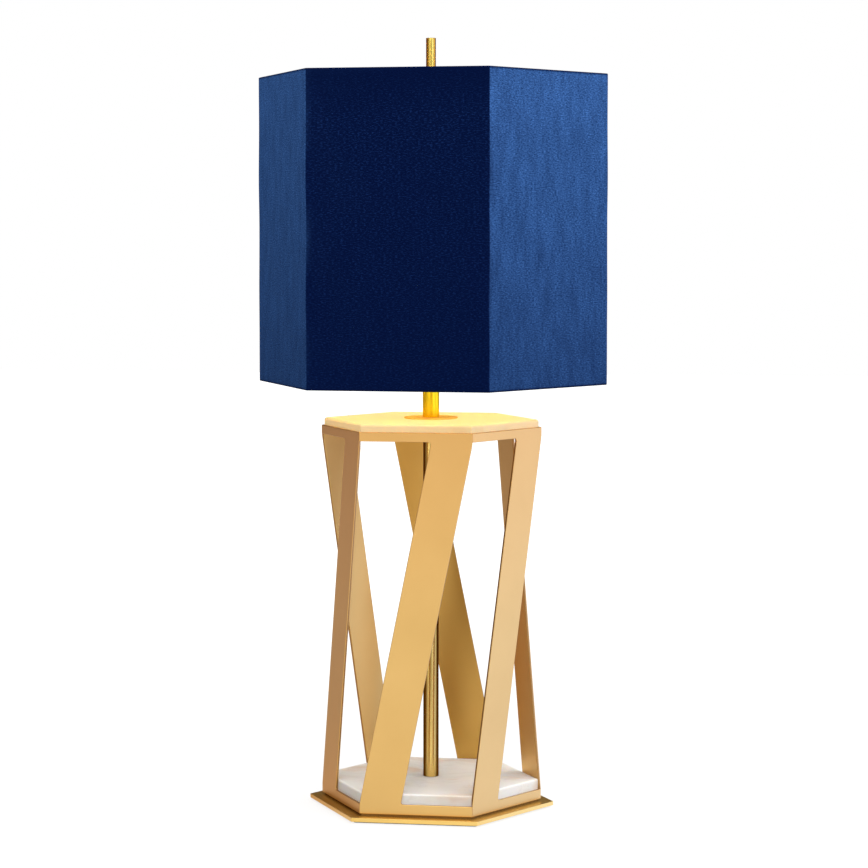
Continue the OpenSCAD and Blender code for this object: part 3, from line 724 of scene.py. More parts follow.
@dataclass(frozen=True)
class TurnedMetal(Metal):
    """Metal with its grain in fine rings round the piece."""

    grain: float = 2600.0
    stretch: Triple = (0.02, 1.0, 1.0)
    relief: float = 0.0005
    pattern: Pattern = Pattern.SURFACE


@dataclass(frozen=True)
class CageMetal(Metal):
    """Satin sheet of the six-sided cage, with painted warm light near its top, painted shade inside and dark
    cut edges.

    Attributes:
        inner: Painted shade inside the cage: shares of each colour that the inner faces keep, straight on and
            at a low angle.
        cut: Share of each colour that the cut edges keep: partly the dark mitre seams, partly painted shade
            along the edges.
        faces: Distances from the lamp's axis to the sheet's inner and outer face, in millimetres.
        top: Painted warm light of the lit lamp: share of each colour that the top of the cage keeps on its
            outside.
        levels: Heights between which that painted warm light comes in, in millimetres.
    """

    inner: tuple[Colour, Colour] = ((0.83, 0.75, 0.28), (1.0, 1.0, 0.86))
    cut: Colour = (0.50, 0.38, 0.26)
    faces: tuple[float, float] = (93.73, 96.13)
    top: Colour = (1.06, 0.955, 0.88)
    levels: tuple[float, float] = (190.0, 385.0)

    def tone(self, graph: Graph) -> Socket:
        """Finds the colour by the distance to the hexagon's nearest side.

        The outside gets painted warm light towards the top and the inner faces painted shade; the cut edges,
        which lie between the faces, are dark, partly from the mitre seams and partly by painted shade.

        Args:
            graph: Graph of the material.

        Returns:
            The colour.
        """
        where = graph.place()
        reach = graph.largest(*(
            graph.math("ABSOLUTE", graph.dot(where, (math.cos(q), math.sin(q), 0.0)))
            for q in np.radians((30, 90, 150))
        ))
        near, far = self.faces  # each blend lies within the sheet, a few tenths of a millimetre from a face
        inside = graph.spread(reach, (near + 0.6) * MM, (far - 0.6) * MM, 1.0, 0.0)
        between = graph.product(graph.spread(reach, (near + 0.3) * MM, (near + 0.7) * MM),
                                graph.spread(reach, (far - 0.8) * MM, (far - 0.4) * MM, 1.0, 0.0))
        # Painted warm light: the outside grows redder towards the top of the cage.
        high = graph.product(graph.climb(*self.levels), graph.rest(inside))
        painted_warm_top = graph.mix(high, super().tone(graph), self.top, "MULTIPLY")
        # Painted shade: the inner faces are darkened, most where they are seen straight on.
        painted_inner_shade = graph.mix(inside, painted_warm_top, graph.mix(graph.facing(0.05, 0.35), *self.inner), "MULTIPLY")
        # Cut edges: partly the dark mitre seams, partly painted shade.
        return graph.mix(between, painted_inner_shade, self.cut, "MULTIPLY")


@dataclass(frozen=True)
class Marble(Finish):
    """White marble: soft slanting bands, a few thin veins and a fine crystal sparkle in the gloss.

    Attributes:
        ground: Colour of the white ground.
        band: Colour of the soft bands.
        vein: Colour of the thin veins.
        glow: Painted glow of a lamp close by, given off by the stone as emission.
        lean: Turn of the bands round X, Y and Z, in radians.
        bands: Bands per metre along and across them.
        bend: How far the bands are bent, in metres.
    """

    ground: Colour = (0.99, 0.95, 0.90)
    band: Colour = (0.80, 0.60, 0.45)
    vein: Colour = (0.55, 0.46, 0.39)
    glow: Colour | None = None
    lean: Triple = (0.35, 0.2, 0.75)
    bands: Triple = (6.0, 24.0, 24.0)
    bend: float = 0.10

    def paint(self, graph: Graph) -> None:
        """Lays out bands, veins, gloss and the painted glow.

        Args:
            graph: Graph of the material.
        """
        where = graph.place()
        swirl = graph.noise(where, 9.0, 3.0).outputs["Color"]
        moved = graph.vector("ADD", where, graph.vector("MULTIPLY", swirl, (self.bend,) * 3))
        laid = graph.node("ShaderNodeMapping", {"Vector": moved, "Rotation": self.lean, "Scale": self.bands})
        cloud = graph.noise(laid.outputs[0], 1.0, 4.0, 0.55).outputs[0]
        soft = graph.spread(cloud, 0.50, 0.72)
        ridge = graph.math("ABSOLUTE", graph.math("SUBTRACT", cloud, 0.47))
        thin = graph.spread(ridge, 0.0, 0.03, 0.14, 0.0)
        crystal = graph.effect("grain", vector=where, stretch=EVEN, scale=1500.0)
        light = {}
        # Painted light: emission that stands in for the bulb's light on the stone.
        if self.glow:
            dimmer = tuple(0.8 * c for c in self.glow)
            light = {"emission_color": graph.mix(soft, self.glow, dimmer), "emission_strength": 1.0}
        graph.surface(
            base_color=graph.mix(thin, graph.mix(soft, self.ground, self.band), self.vein),
            roughness=graph.spread(crystal, 0.0, 1.0, 0.28, 0.42),
            subsurface_weight=0.4,
            subsurface_radius=(1.0, 0.8, 0.6),
            subsurface_scale=0.006,
            normal=graph.bump(crystal, 0.1, 0.02),
            **light,
        )


@dataclass(frozen=True)
class Velvet(Finish):
    """Cut-pile velvet: dark pile with fine flecks and soft smears, and tips that shine at a low angle.

    Attributes:
        pile: Colour of the pile seen straight on.
        fleck: Colour of the flecks in it.
        tip: Colour of the tips seen at a low angle.
        tip_shade: Colour between those tips.
        levels: Heights of the rolled edges, in millimetres.
        edge_stripe: Height of the dark stripe along each rolled edge, in millimetres.
        shaded: Height of the painted shade stripe at the top, in millimetres.
    """

    pile: Colour = (0.0008, 0.0060, 0.047)
    fleck: Colour = (0.0100, 0.0380, 0.170)
    tip: Colour = (0.122, 0.335, 0.915)
    tip_shade: Colour = (0.003, 0.030, 0.135)
    levels: tuple[float, float] = (422.7, 725.9)
    edge_stripe: float = 2.0
    shaded: float = 45.0

    def paint(self, graph: Graph) -> None:
        """Lays out flecks, smears, painted light towards the top, a painted shade stripe under it, dark
        rolled edges and the tips' shine.

        Args:
            graph: Graph of the material.
        """
        where = graph.place(Pattern.SURFACE)
        bottom, top = self.levels
        flecks = graph.effect("flecks", vector=where, stretch=(0.36, 1.0, 1.0), scale=1000.0, share=0.5)
        smears = graph.effect("grain", vector=where, stretch=(1.0, 0.3, 1.0), scale=85.0)
        nap = graph.effect("grain", vector=where, stretch=(0.42, 0.9, 1.0), scale=850.0)
        # Painted light: the face grows brighter towards the top of the shade.
        painted_height_light = graph.climb(bottom, top, 0.45, 1.0)
        smears_and_painted_light = graph.product(painted_height_light, graph.spread(smears, 0.0, 1.0, 0.60, 1.08))
        # Painted shade: fewer flecks, so a darker face, under the top edge.
        darker = graph.climb(top - self.shaded, top, 1.0, 0.15)
        ground = graph.mix(graph.product(flecks, smears_and_painted_light, darker), self.pile, self.fleck)
        tufts = graph.math("ADD", graph.product(flecks, 0.35), graph.product(nap, 0.65))
        tips = graph.mix(tufts, self.tip_shade, self.tip)
        shine = graph.product(graph.facing(0.02, 0.27, 0.35), smears_and_painted_light)
        # The rolled edges keep the plain dark pile colour, without the tips' shine.
        off_rolled_edges = graph.product(graph.climb(bottom, bottom + self.edge_stripe),
                                     graph.climb(top - self.edge_stripe, top, 1.0, 0.0))
        graph.surface(
            base_color=graph.mix(off_rolled_edges, self.pile, graph.mix(shine, ground, tips)),
            roughness=graph.spread(nap, 0.0, 1.0, 0.8, 0.95),
            specular_ior_level=0.03,
            sheen_weight=0.12,
            sheen_roughness=0.4,
            sheen_tint=(0.10, 0.30, 0.85),
            normal=graph.bump(graph.math("ADD", graph.product(flecks, 0.6), nap), 0.5, 0.25),
        )


@dataclass(frozen=True)
class Felt(Finish):
    """Pressed felt: matted fibres in two tones.

    Attributes:
        tones: Darker and lighter colour.
    """

    tones: tuple[Colour, Colour] = ((0.010, 0.010, 0.011), (0.030, 0.030, 0.032))

    def paint(self, graph: Graph) -> None:
        """Lays out fibres in colour and relief.

        Args:
            graph: Graph of the material.
        """
        where, (low, high) = graph.place(), self.tones
        fibres = graph.effect("flecks", vector=where, stretch=(1.0, 0.4, 1.0), scale=700.0, share=0.6)
        cloud = graph.effect("mottle", vector=where, scale=40.0, low=low, high=high)
        graph.surface(
            base_color=graph.mix(fibres, cloud, high),
            roughness=graph.spread(fibres, 0.0, 1.0, 0.85, 1.0),
            sheen_weight=0.3,
            sheen_roughness=0.6,
            normal=graph.bump(fibres, 0.6, 0.2),
        )


@dataclass(frozen=True)
class Moulded(Finish):
    """Moulded plastic, card or sheet: two close tones and a fine texture.

    Attributes:
        tones: Darker and lighter colour.
        roughness: Smallest and largest roughness.
        texture: Grains of the texture per metre.
    """

    tones: tuple[Colour, Colour] = ((0.02, 0.02, 0.02), (0.03, 0.03, 0.03))
    roughness: tuple[float, float] = (0.4, 0.55)
    texture: float = 1200.0

    def paint(self, graph: Graph) -> None:
        """Lays out tones, texture and gloss.

        Args:
            graph: Graph of the material.
        """
        where, (low, high) = graph.place(), self.tones
        grain = graph.effect("grain", vector=where, stretch=EVEN, scale=self.texture)
        graph.surface(
            base_color=graph.effect("mottle", vector=where, scale=60.0, low=low, high=high),
            roughness=graph.spread(grain, 0.0, 1.0, *self.roughness),
            normal=graph.bump(grain, 0.3, 0.03),
        )


@dataclass(frozen=True)
class LitGlass(Finish):
    """Frosted glass with a light inside, a little whiter towards the top and warmer towards the neck.

    Attributes:
        low: Colour of the light at the neck.
        high: Colour of the light at the top.
        strength: Strength of the light.
        levels: Heights at which the two colours are reached, in millimetres.
    """

    low: Colour = (1.0, 0.58, 0.08)
    high: Colour = (1.0, 0.66, 0.14)
    strength: float = 28.0
    levels: tuple[float, float] = (535.0, 590.0)

    def paint(self, graph: Graph) -> None:
        """Lays out the light and the frosting.

        Args:
            graph: Graph of the material.
        """
        frost = graph.effect("grain", vector=graph.place(), stretch=EVEN, scale=1600.0)
        graph.surface(
            base_color=(0.92, 0.90, 0.86),
            roughness=graph.spread(frost, 0.0, 1.0, 0.35, 0.5),
            emission_color=graph.mix(graph.climb(*self.levels), self.low, self.high),
            emission_strength=self.strength,
        )


SATIN_BRASS = CageMetal("satin brass", coat=0.9)
# Painted reflection: a lighter copy of the brass for the base plate, for the bright surroundings that its top
# mirrors.
WARM_BRASS = Metal("warm brass", tones=((0.94, 0.60, 0.12), (0.98, 0.65, 0.15)), edge_tone=(1.0, 0.86, 0.60),
                   roughness=(0.40, 0.46), coat=0.9)
# Its rim paints shade along the finial's outline.
POLISHED_BRASS = TurnedMetal("polished brass", tones=((0.98, 0.70, 0.13), (1.0, 0.76, 0.17)),
                             edge_tone=(0.80, 0.48, 0.14), roughness=(0.29, 0.33), relief=0.0002,
                             rim=(0.70, 0.40, 0.14))
# Its rim paints shade along the lower tube's outline.
DARK_BRASS = TurnedMetal("dark brass", tones=((0.82, 0.56, 0.16), (0.90, 0.63, 0.20)),
                         edge_tone=(0.40, 0.25, 0.10), roughness=(0.22, 0.26), relief=0.0004,
                         rim=(0.18, 0.12, 0.05))
# Painted warm light: far more saturated than the other brass, for the glow of the lit shade mirrored in the
# upper tube and its cap.
BULB_LIT_BRASS = TurnedMetal("bulb-lit brass", tones=((0.97, 0.69, 0.02), (1.0, 0.75, 0.03)),
                         edge_tone=(1.0, 0.80, 0.20), roughness=(0.32, 0.38))
# Painted reflection: a paler copy of the brass for the rosette, for the lit lining that it mirrors.
PALE_BRASS = TurnedMetal("pale brass", tones=((0.94, 0.67, 0.22), (0.98, 0.73, 0.27)),
                         edge_tone=(1.0, 0.85, 0.50), roughness=(0.42, 0.48))
PLATED_BRASS = Metal("plated brass", tones=((0.70, 0.47, 0.20), (0.78, 0.54, 0.25)), roughness=(0.18, 0.26),
                     stretch=EVEN, relief=0.004)
ZINC = Metal("zinc plate", tones=((0.50, 0.50, 0.52), (0.62, 0.62, 0.64)), edge_tone=WHITE, cloud=60.0,
             roughness=(0.3, 0.45), stretch=EVEN, relief=0.004)
BRIGHT_ALUMINIUM = TurnedMetal("bright aluminium", tones=((0.70, 0.70, 0.71), (0.80, 0.80, 0.81)),
                               edge_tone=WHITE, roughness=(0.15, 0.25), grain=2400.0, relief=0.001)
# Partly the cage floor's own dark finish, partly painted shade: it darkens the shadow gap above the base
# plate.
DARK_BRONZE_GAP_SHADE = Metal("dark bronze gap shade", tones=((0.24, 0.135, 0.045), (0.30, 0.175, 0.060)),
                    edge_tone=(0.6, 0.4, 0.2), roughness=(0.4, 0.5), stretch=EVEN, relief=0.004)
WHITE_MARBLE = Marble("white marble")
# Painted bulb light: a warmer copy of the white marble with a painted glow, for the top slab under the lit
# shade.
LIT_MARBLE = Marble("lit marble", ground=(0.82, 0.74, 0.58), band=(0.78, 0.66, 0.46), vein=(0.62, 0.50, 0.36),
                    glow=(0.42, 0.28, 0.10))
NAVY_VELVET = Velvet("navy velvet")
BLACK_FELT = Felt("black felt")
BLACK_PLASTIC = Moulded("black plastic")
CARD = Moulded("insulating card", ((0.55, 0.48, 0.36), (0.66, 0.58, 0.45)), (0.7, 0.9), 500.0)
LINING = Moulded("shade lining", ((0.70, 0.64, 0.52), (0.76, 0.70, 0.58)), (0.45, 0.6), 900.0)
BULB_GLASS = LitGlass("lit glass")


# Sub-assemblies


@dataclass
class Base:
    """Plate, felt pad and screws that the lamp stands on.

    Attributes:
        edge: Bevel of the plate's edges.
        felt_edge: Rounding of the pad's edge.
        felt_corner: Rounding of the pad's corners.
        felt_gap: Gap between pad and plate.
        fuzz: Unevenness of the pad's rim.
        fuzz_reach: How far it reaches in from the rim.
    """

    edge: float = 0.5
    felt_edge: float = 0.6
    felt_corner: float = 2.0
    felt_gap: float = 0.1
    fuzz: float = 0.12
    fuzz_reach: float = 1.5

    def build(self) -> None:
        """Dresses plate and screws and makes the pad.

        The pad is P(i, k) = loop of flat_i at column k, z_i, plus fuzz sin(2.4 k) exp(-(distance to the rim /
        reach)^2) along the outward normal.
        """
        dress(WARM_BRASS, "base_plate")
        ease_edges(self.edge, "base_plate", segments=3)
        dress(ZINC, "base_screws")
        low, high = node_box("base_felt")
        rim = high[1]
        outline = rounded_outline([(rim, low[2]), (rim, high[2] - self.felt_gap)], self.felt_edge)
        flats, heights = refined(outline, 8.0).T
        hexagon = HexagonLoops()
        normals = hexagon.normals()
        near_rim = np.exp(-((flats - rim) / self.fuzz_reach) ** 2)
        fuzz = self.fuzz * np.sin(2.4 * np.arange(len(normals))) * near_rim[:, None]
        plan = hexagon.loops(flats, np.minimum(self.felt_corner, flats)) + fuzz[..., None] * normals
        Piece("felt_pad", "stand", "felt", BLACK_FELT, [Patch(raised(plan, heights))], ("base_felt",)).build()


@dataclass
class Cage:
    """Six leaning-band panels, with the floor, roof, marble slabs and cord bushing that go with them.

    Attributes:
        panel_edge: Bevel of the sheet's edges.
        slab_edge: Rounding of the slabs' edges.
        bushing_edge: Rounding of the cord bushing.
        bushing_bore: Radius of its bore.
        bushing_neck: Radius of the part that sits in the rail.
        bushing_flange: Thickness of its flange.
    """

    panel_edge: float = 0.55
    slab_edge: float = 0.6
    bushing_edge: float = 0.3
    bushing_bore: float = 3.0
    bushing_neck: float = 3.8
    bushing_flange: float = 1.2

    def build(self) -> None:
        """Dresses panels, plates and slabs, and makes the bushing."""
        panels = [f"cage_panel_{k}" for k in range(1, SIDES + 1)]
        dress(SATIN_BRASS, *panels)
        ease_edges(self.panel_edge, *panels)
        # The floor's dark finish also paints shade into the gap under the panels.
        dress(DARK_BRONZE_GAP_SHADE, "cage_floor")
        dress(PLATED_BRASS, "cage_roof")
        dress(WHITE_MARBLE, "base_marble")
        dress(LIT_MARBLE, "top_marble")
        ease_edges(self.slab_edge, "base_marble", "top_marble", segments=3)
        self.bushing()

    def bushing(self) -> None:
        """Makes the cord bushing in the rear rail, turned round an axis along +Y with an open bore."""
        low, high = node_box("cord_bushing")
        r, length, neck = (high[0] - low[0]) / 2, high[1] - low[1], self.bushing_neck
        flange = length - self.bushing_flange
        outline = rounded_outline([(neck, 0.0), (neck, flange), (r, flange), (r, length)],
                                  self.bushing_edge, self.bushing_bore)
        centre = (0.0, low[1], (low[2] + high[2]) / 2)
        Piece("cord_inlet_bushing", "stand", "black_plastic", BLACK_PLASTIC,
              [turned(outline, 48, centre, Axis.BACK)], ("cord_bushing",)).build()


@dataclass
class Stem:
    """Tubes and discs on the lamp's axis, and the threaded pipe that clamps them.

    Attributes:
        wall: Wall of the tubes.
        bore: Bore of the discs.
        edge: Rounding of the tubes' edges.
        rosette_edge: Rounding of the rosette's edges.
        cap_edge: Rounding of the cap's edges.
    """

    wall: float = 1.2
    bore: float = 5.05
    edge: float = 0.5
    rosette_edge: float = 0.7
    cap_edge: float = 1.2

    def build(self) -> None:
        """Makes tubes and discs and dresses the clamping parts."""
        # The upper tube and its cap get painted warm light from their finish.
        for node, finish in (("lower_stem", DARK_BRASS), ("upper_stem", BULB_LIT_BRASS)):
            self.ring(node, node_box(node)[1][0] - self.wall, self.edge, finish)
        self.ring("rosette", self.bore, self.rosette_edge, PALE_BRASS)
        self.ring("stem_cap", self.bore, self.cap_edge, BULB_LIT_BRASS)
        hidden = ("pipe_nut", "pipe_washer", "threaded_pipe", "lower_stem_bushes", "upper_stem_bushes")
        dress(ZINC, *hidden)
        shade_round(*hidden)

    def ring(self, node: str, bore: float, edge: float, finish: Finish) -> None:
        """Makes a tube or a disc in place of a solid, with rounded edges.

        Args:
            node: The solid that it stands for.
            bore: Inner radius.
            edge: Rounding of the edges.
            finish: Finish that it is dressed in.
        """
        low, (outer, _, top) = node_box(node)
        outline = refined(rounded_outline([(outer, low[2]), (outer, top)], edge, bore), 12.0)
        Piece(f"{node}_brass", "stand", "brass_polished", finish, [turned(outline, 128)], (node,)).build()


@dataclass
class Harp:
    """Wire harp with its eye and stud, its saddle and its two sliding sleeves.

    Attributes:
        wire_r: Radius of the wire.
        leg_x: Distance from the axis to a leg.
        leg_top: Height at which the legs begin to spread.
        flare_deg: Angle of the spread.
        flare_r: Bend radius where it begins.
        crown_x: Half length of the straight top.
        crown_z: Height of the straight top.
        eye_r: Radius of the eye.
        eye_h: Height of the eye.
        stud_r: Radius of the stud's thread.
        stud_pitch: Pitch of that thread.
        thread_depth: Depth of that thread.
        seat_h: Height of the stud's seat.
        saddle_edge: Bevel of the saddle's edges.
        sleeve_wall: Wall of the sleeves.
        bead: Height of the rolls at a sleeve's ends.
        bead_depth: How far they stand out.
    """

    wire_r: float = 1.9
    leg_x: float = 33.0
    leg_top: float = 508.7
    flare_deg: float = 14.0
    flare_r: float = 40.0
    crown_x: float = 7.0
    crown_z: float = 700.1
    eye_r: float = 4.5
    eye_h: float = 5.0
    stud_r: float = 3.05
    stud_pitch: float = 0.94
    thread_depth: float = 0.3
    seat_h: float = 1.6
    saddle_edge: float = 0.25
    sleeve_wall: float = 0.8
    bead: float = 1.6
    bead_depth: float = 0.3

    def half_path(self) -> np.ndarray:
        """Lays out the right half of the wire's line: leg, flare arc, straight side, crown arc.

        The side's length and the crown's radius are those at which the line meets the crown level.

        Returns:
            Points (x, z) of shape (n, 2).
        """
        bottom = node_box("harp_bow")[0][2]
        f = math.radians(self.flare_deg)
        out, up = np.array([-math.cos(f), math.sin(f)]), np.array([math.sin(f), math.cos(f)])
        dx = self.crown_x - self.leg_x - self.flare_r * (1 - math.cos(f))
        dz = self.crown_z - self.leg_top - self.flare_r * math.sin(f)
        side = dx + dz * math.cos(f) / (1 + math.sin(f))
        crown_r = (dz * math.sin(f) - dx * math.cos(f)) / (1 + math.sin(f))
        flare = np.array([self.leg_x + self.flare_r, self.leg_top])
        crown = flare + self.flare_r * out + side * up + crown_r * out
        bend = flare + self.flare_r * on_circle(np.linspace(math.pi, math.pi - f, 10))
        round_top = crown + crown_r * on_circle(np.linspace(-f, math.pi / 2, 48))
        return np.concatenate([upright(self.leg_x, np.array([bottom, bottom + 0.4])), bend, round_top])

    def build(self) -> None:
        """Makes bow, stud and sleeves and dresses the saddle."""
        half = self.half_path()
        x, z = np.concatenate([half, half[::-1] * [-1, 1]]).T
        wire = bent_tube(np.stack([x, 0 * x, z], axis=1), self.wire_r, (0.0, 1.0, 0.0), 20)
        low, high = self.crown_z - self.eye_h / 2, self.crown_z + self.eye_h / 2
        eye = rounded_outline([(self.eye_r, low), (self.eye_r, high)], 0.6)
        Piece("harp_wire", "stand", "brass_plated", PLATED_BRASS, [wire, turned(eye, 48)],
              ("harp_bow",)).build()
        self.stud()
        dress(PLATED_BRASS, "harp_saddle")
        ease_edges(self.saddle_edge, "harp_saddle")
        for node, body in (("harp_sleeve_left", "left_sleeve"), ("harp_sleeve_right", "right_sleeve")):
            self.sleeve(node, body)

    def stud(self) -> None:
        """Makes the stud: r(z, a) = r - d/2 + d/2 cos(2 pi z / pitch - a) up the thread, on a round seat."""
        seat_r, _, top = node_box("harp_stud")[1]
        low = self.crown_z + self.eye_h / 2
        high = low + self.seat_h
        seat = rounded_outline([(seat_r, low), (seat_r, high)], 0.4)
        rows = np.linspace(high, top - 0.4, 120)
        depth = self.thread_depth / 2
        ripple = np.pad(depth * thread_wave(rows, self.stud_pitch, 48) - depth, ((0, 2), (0, 0)))
        profile = np.concatenate([upright(self.stud_r, rows), [[self.stud_r - 0.5, top], [0.0, top]]])
        Piece("harp_stud_thread", "stand", "brass_plated", PLATED_BRASS,
              [turned(seat, 64), turned(profile, 48, ripple=ripple)], ("harp_stud",)).build()

    def sleeve(self, node: str, body: str) -> None:
        """Makes a sleeve in place of its solid: a short tube with rolled ends.

        Args:
            node: The solid that it stands for.
            body: Moving body that it rides on.
        """
        low, high = node_box(node)
        r, h = (high[0] - low[0]) / 2, high[2] - low[2]
        waist, slope = r - self.bead_depth, self.bead + 0.6
        outline = rounded_outline([(r, 0.0), (r, self.bead), (waist, slope), (waist, h - slope),
                                   (r, h - self.bead), (r, h)], 0.35, r - self.sleeve_wall)
        centre = ((low[0] + high[0]) / 2, 0.0, low[2])
        Piece(f"{node}_tube", body, "brass_plated", PLATED_BRASS, [turned(outline, 48, centre)],
              (node,)).build()


@dataclass
class Lampholder:
    """Holder of the bulb: cap, shell, liner, moulded body, screw shell, contact and switch key.

    Attributes:
        pitch: Pitch of the bulb's thread.
        shell_wall: Wall of the screw shell, with its thread.
        thread: Half depth of that thread.
        shaft_r: Radius of the switch key's shaft.
        knob_h: Length of its knob.
        flutes: Number of flutes round the knob.
        flute_depth: Depth of those flutes.
    """

    pitch: float = 3.629
    shell_wall: float = 0.5
    thread: float = 0.14
    shaft_r: float = 2.1
    knob_h: float = 11.0
    flutes: int = 14
    flute_depth: float = 0.35

    def build(self) -> None:
        """Makes the screw shell and the key, and dresses the rest."""
        dress(PLATED_BRASS, "socket_cap", "socket_shell", "socket_contact", "terminal_screws")
        dress(BLACK_PLASTIC, "socket_body")
        dress(CARD, "socket_liner")
        shade_round("socket_cap", "socket_shell", "socket_body", "socket_liner", "terminal_screws")
        self.screw_shell()
        self.key()

    def screw_shell(self) -> None:
        """Makes the threaded shell: both walls have r(z, a) = r + d cos(2 pi z / pitch - a)."""
        low, high = node_box("socket_screw_shell")
        z = np.linspace(low[2], high[2], 70)
        wave = self.thread * thread_wave(z, self.pitch, 72)
        inner, outer = high[0] - self.shell_wall + self.thread, high[0] - self.thread
        profile = np.concatenate([upright(inner, z[::-1]), upright(outer, z)])
        ripple = np.concatenate([wave[::-1], wave])
        Piece("socket_thread", "stand", "brass_plated", PLATED_BRASS,
              [turned(profile, 72, ripple=ripple, closed=True)], ("socket_screw_shell",)).build()

    def key(self) -> None:
        """Makes the key: a shaft, and a knob with r(h, a) = r_h + d (cos(n a) - 1) along its grip."""
        low, high = node_box("switch_key")
        r, length, shaft = (high[0] - low[0]) / 2, high[1] - low[1], self.shaft_r
        knob = length - self.knob_h
        outside = [(shaft, 0.0), (shaft, knob), (r - 2.0, knob), (r - 1.0, knob + 1.0), (r, length - 1.0),
                   (r - 1.0, length)]
        outline = refined(rounded_outline(outside, 0.7), 0.8)
        radius, h = outline.T
        grip = np.clip((h - knob - 1.0) / 1.2, 0, 1) * np.clip((length - 0.9 - h) / 1.2, 0, 1)
        grip = grip * (radius > shaft + 0.5)
        ripple = self.flute_depth * grip[:, None] * (np.cos(self.flutes * round_angles(112)) - 1)
        centre = (0.0, high[1], (low[2] + high[2]) / 2)
        Piece("switch_knob", "switch_key", "black_plastic", BLACK_PLASTIC,
              [turned(outline, 112, centre, Axis.FRONT, ripple)], ("switch_key",)).build()


@dataclass
class Bulb:
    """Screw-in bulb: glass globe, threaded cap, black insulator and contact tip.

    Attributes:
        neck_r: Radius of the globe's foot.
        pitch: Pitch of the cap's thread.
        thread: Half depth of that thread.
        insulator_r: Radii of the insulator at its bottom, its shoulder and its top.
        tip_r: Radius of the contact tip's face.
    """

    neck_r: float = 13.0
    pitch: float = 3.629
    thread: float = 0.38
    insulator_r: tuple[float, float, float] = (5.0, 7.5, 12.0)
    tip_r: float = 3.4

    def build(self) -> None:
        """Makes all four pieces."""
        self.globe()
        self.cap()
        (_, _, low), (_, _, high) = node_box("bulb_insulator")
        foot, shoulder, rim = self.insulator_r
        outline = rounded_outline([(foot, low), (shoulder, low + 1.6), (rim, high - 0.5), (rim, high)], 0.8)
        Piece("bulb_insulator_ring", "bulb", "black_plastic", BLACK_PLASTIC, [turned(outline, 64)],
              ("bulb_insulator",)).build()
        (_, _, low), (r, _, high) = node_box("bulb_tip")
        outline = rounded_outline([(self.tip_r, low), (r, high)], 1.2)
        Piece("bulb_contact_tip", "bulb_foot", "bulb_metal", BRIGHT_ALUMINIUM, [turned(outline, 48)],
              ("bulb_tip",)).build()

    def globe(self) -> None:
        """Makes the globe: a neck (1-t)^3 A + 3t(1-t)^2 B + 3t^2(1-t) C + t^3 D that runs into a ball."""
        (_, _, low), (ball, _, high) = node_box("bulb_globe")
        middle = np.array([0.0, high - ball])
        a = np.linspace(-math.pi / 4, math.pi / 2, 56)
        top = middle + ball * on_circle(a)
        join, foot = top[0], np.array([self.neck_r - 0.3, low])
        rise = join[1] - low
        t = np.linspace(0, 1, 28)[:, None]
        neck = ((1 - t) ** 3 * foot + 3 * t * (1 - t) ** 2 * (foot + [0, rise / 2])
                + 3 * t**2 * (1 - t) * (join - rise / 4) + t**3 * join)
        profile = np.concatenate([[[self.neck_r - 1.5, low - 1.0]], neck, top[1:]])
        Piece("bulb_glass", "bulb", "bulb_glass", BULB_GLASS, [turned(profile, 112)], ("bulb_globe",)).build()

    def cap(self) -> None:
        """Makes the cap: r(z, a) = r + d e(z) cos(2 pi z / pitch - a), with e falling to 0 at both ends."""
        (_, _, low), (r, _, high) = node_box("bulb_cap")
        z = np.linspace(low, high, 110)
        fade = np.clip(np.minimum(z - low - 0.8, high - 3.0 - z) / 1.5, 0, 1)
        wave = self.thread * fade[:, None] * thread_wave(z, self.pitch, 96)
        wall = upright(r - self.thread, z)
        profile = np.concatenate([[[0.0, low]], wall, [[self.neck_r - 1.2, high + 0.4]]])
        Piece("bulb_screw_cap", "bulb", "bulb_metal", BRIGHT_ALUMINIUM,
              [turned(profile, ripple=np.pad(wave, ((1, 1), (0, 0))))], ("bulb_cap",)).build()


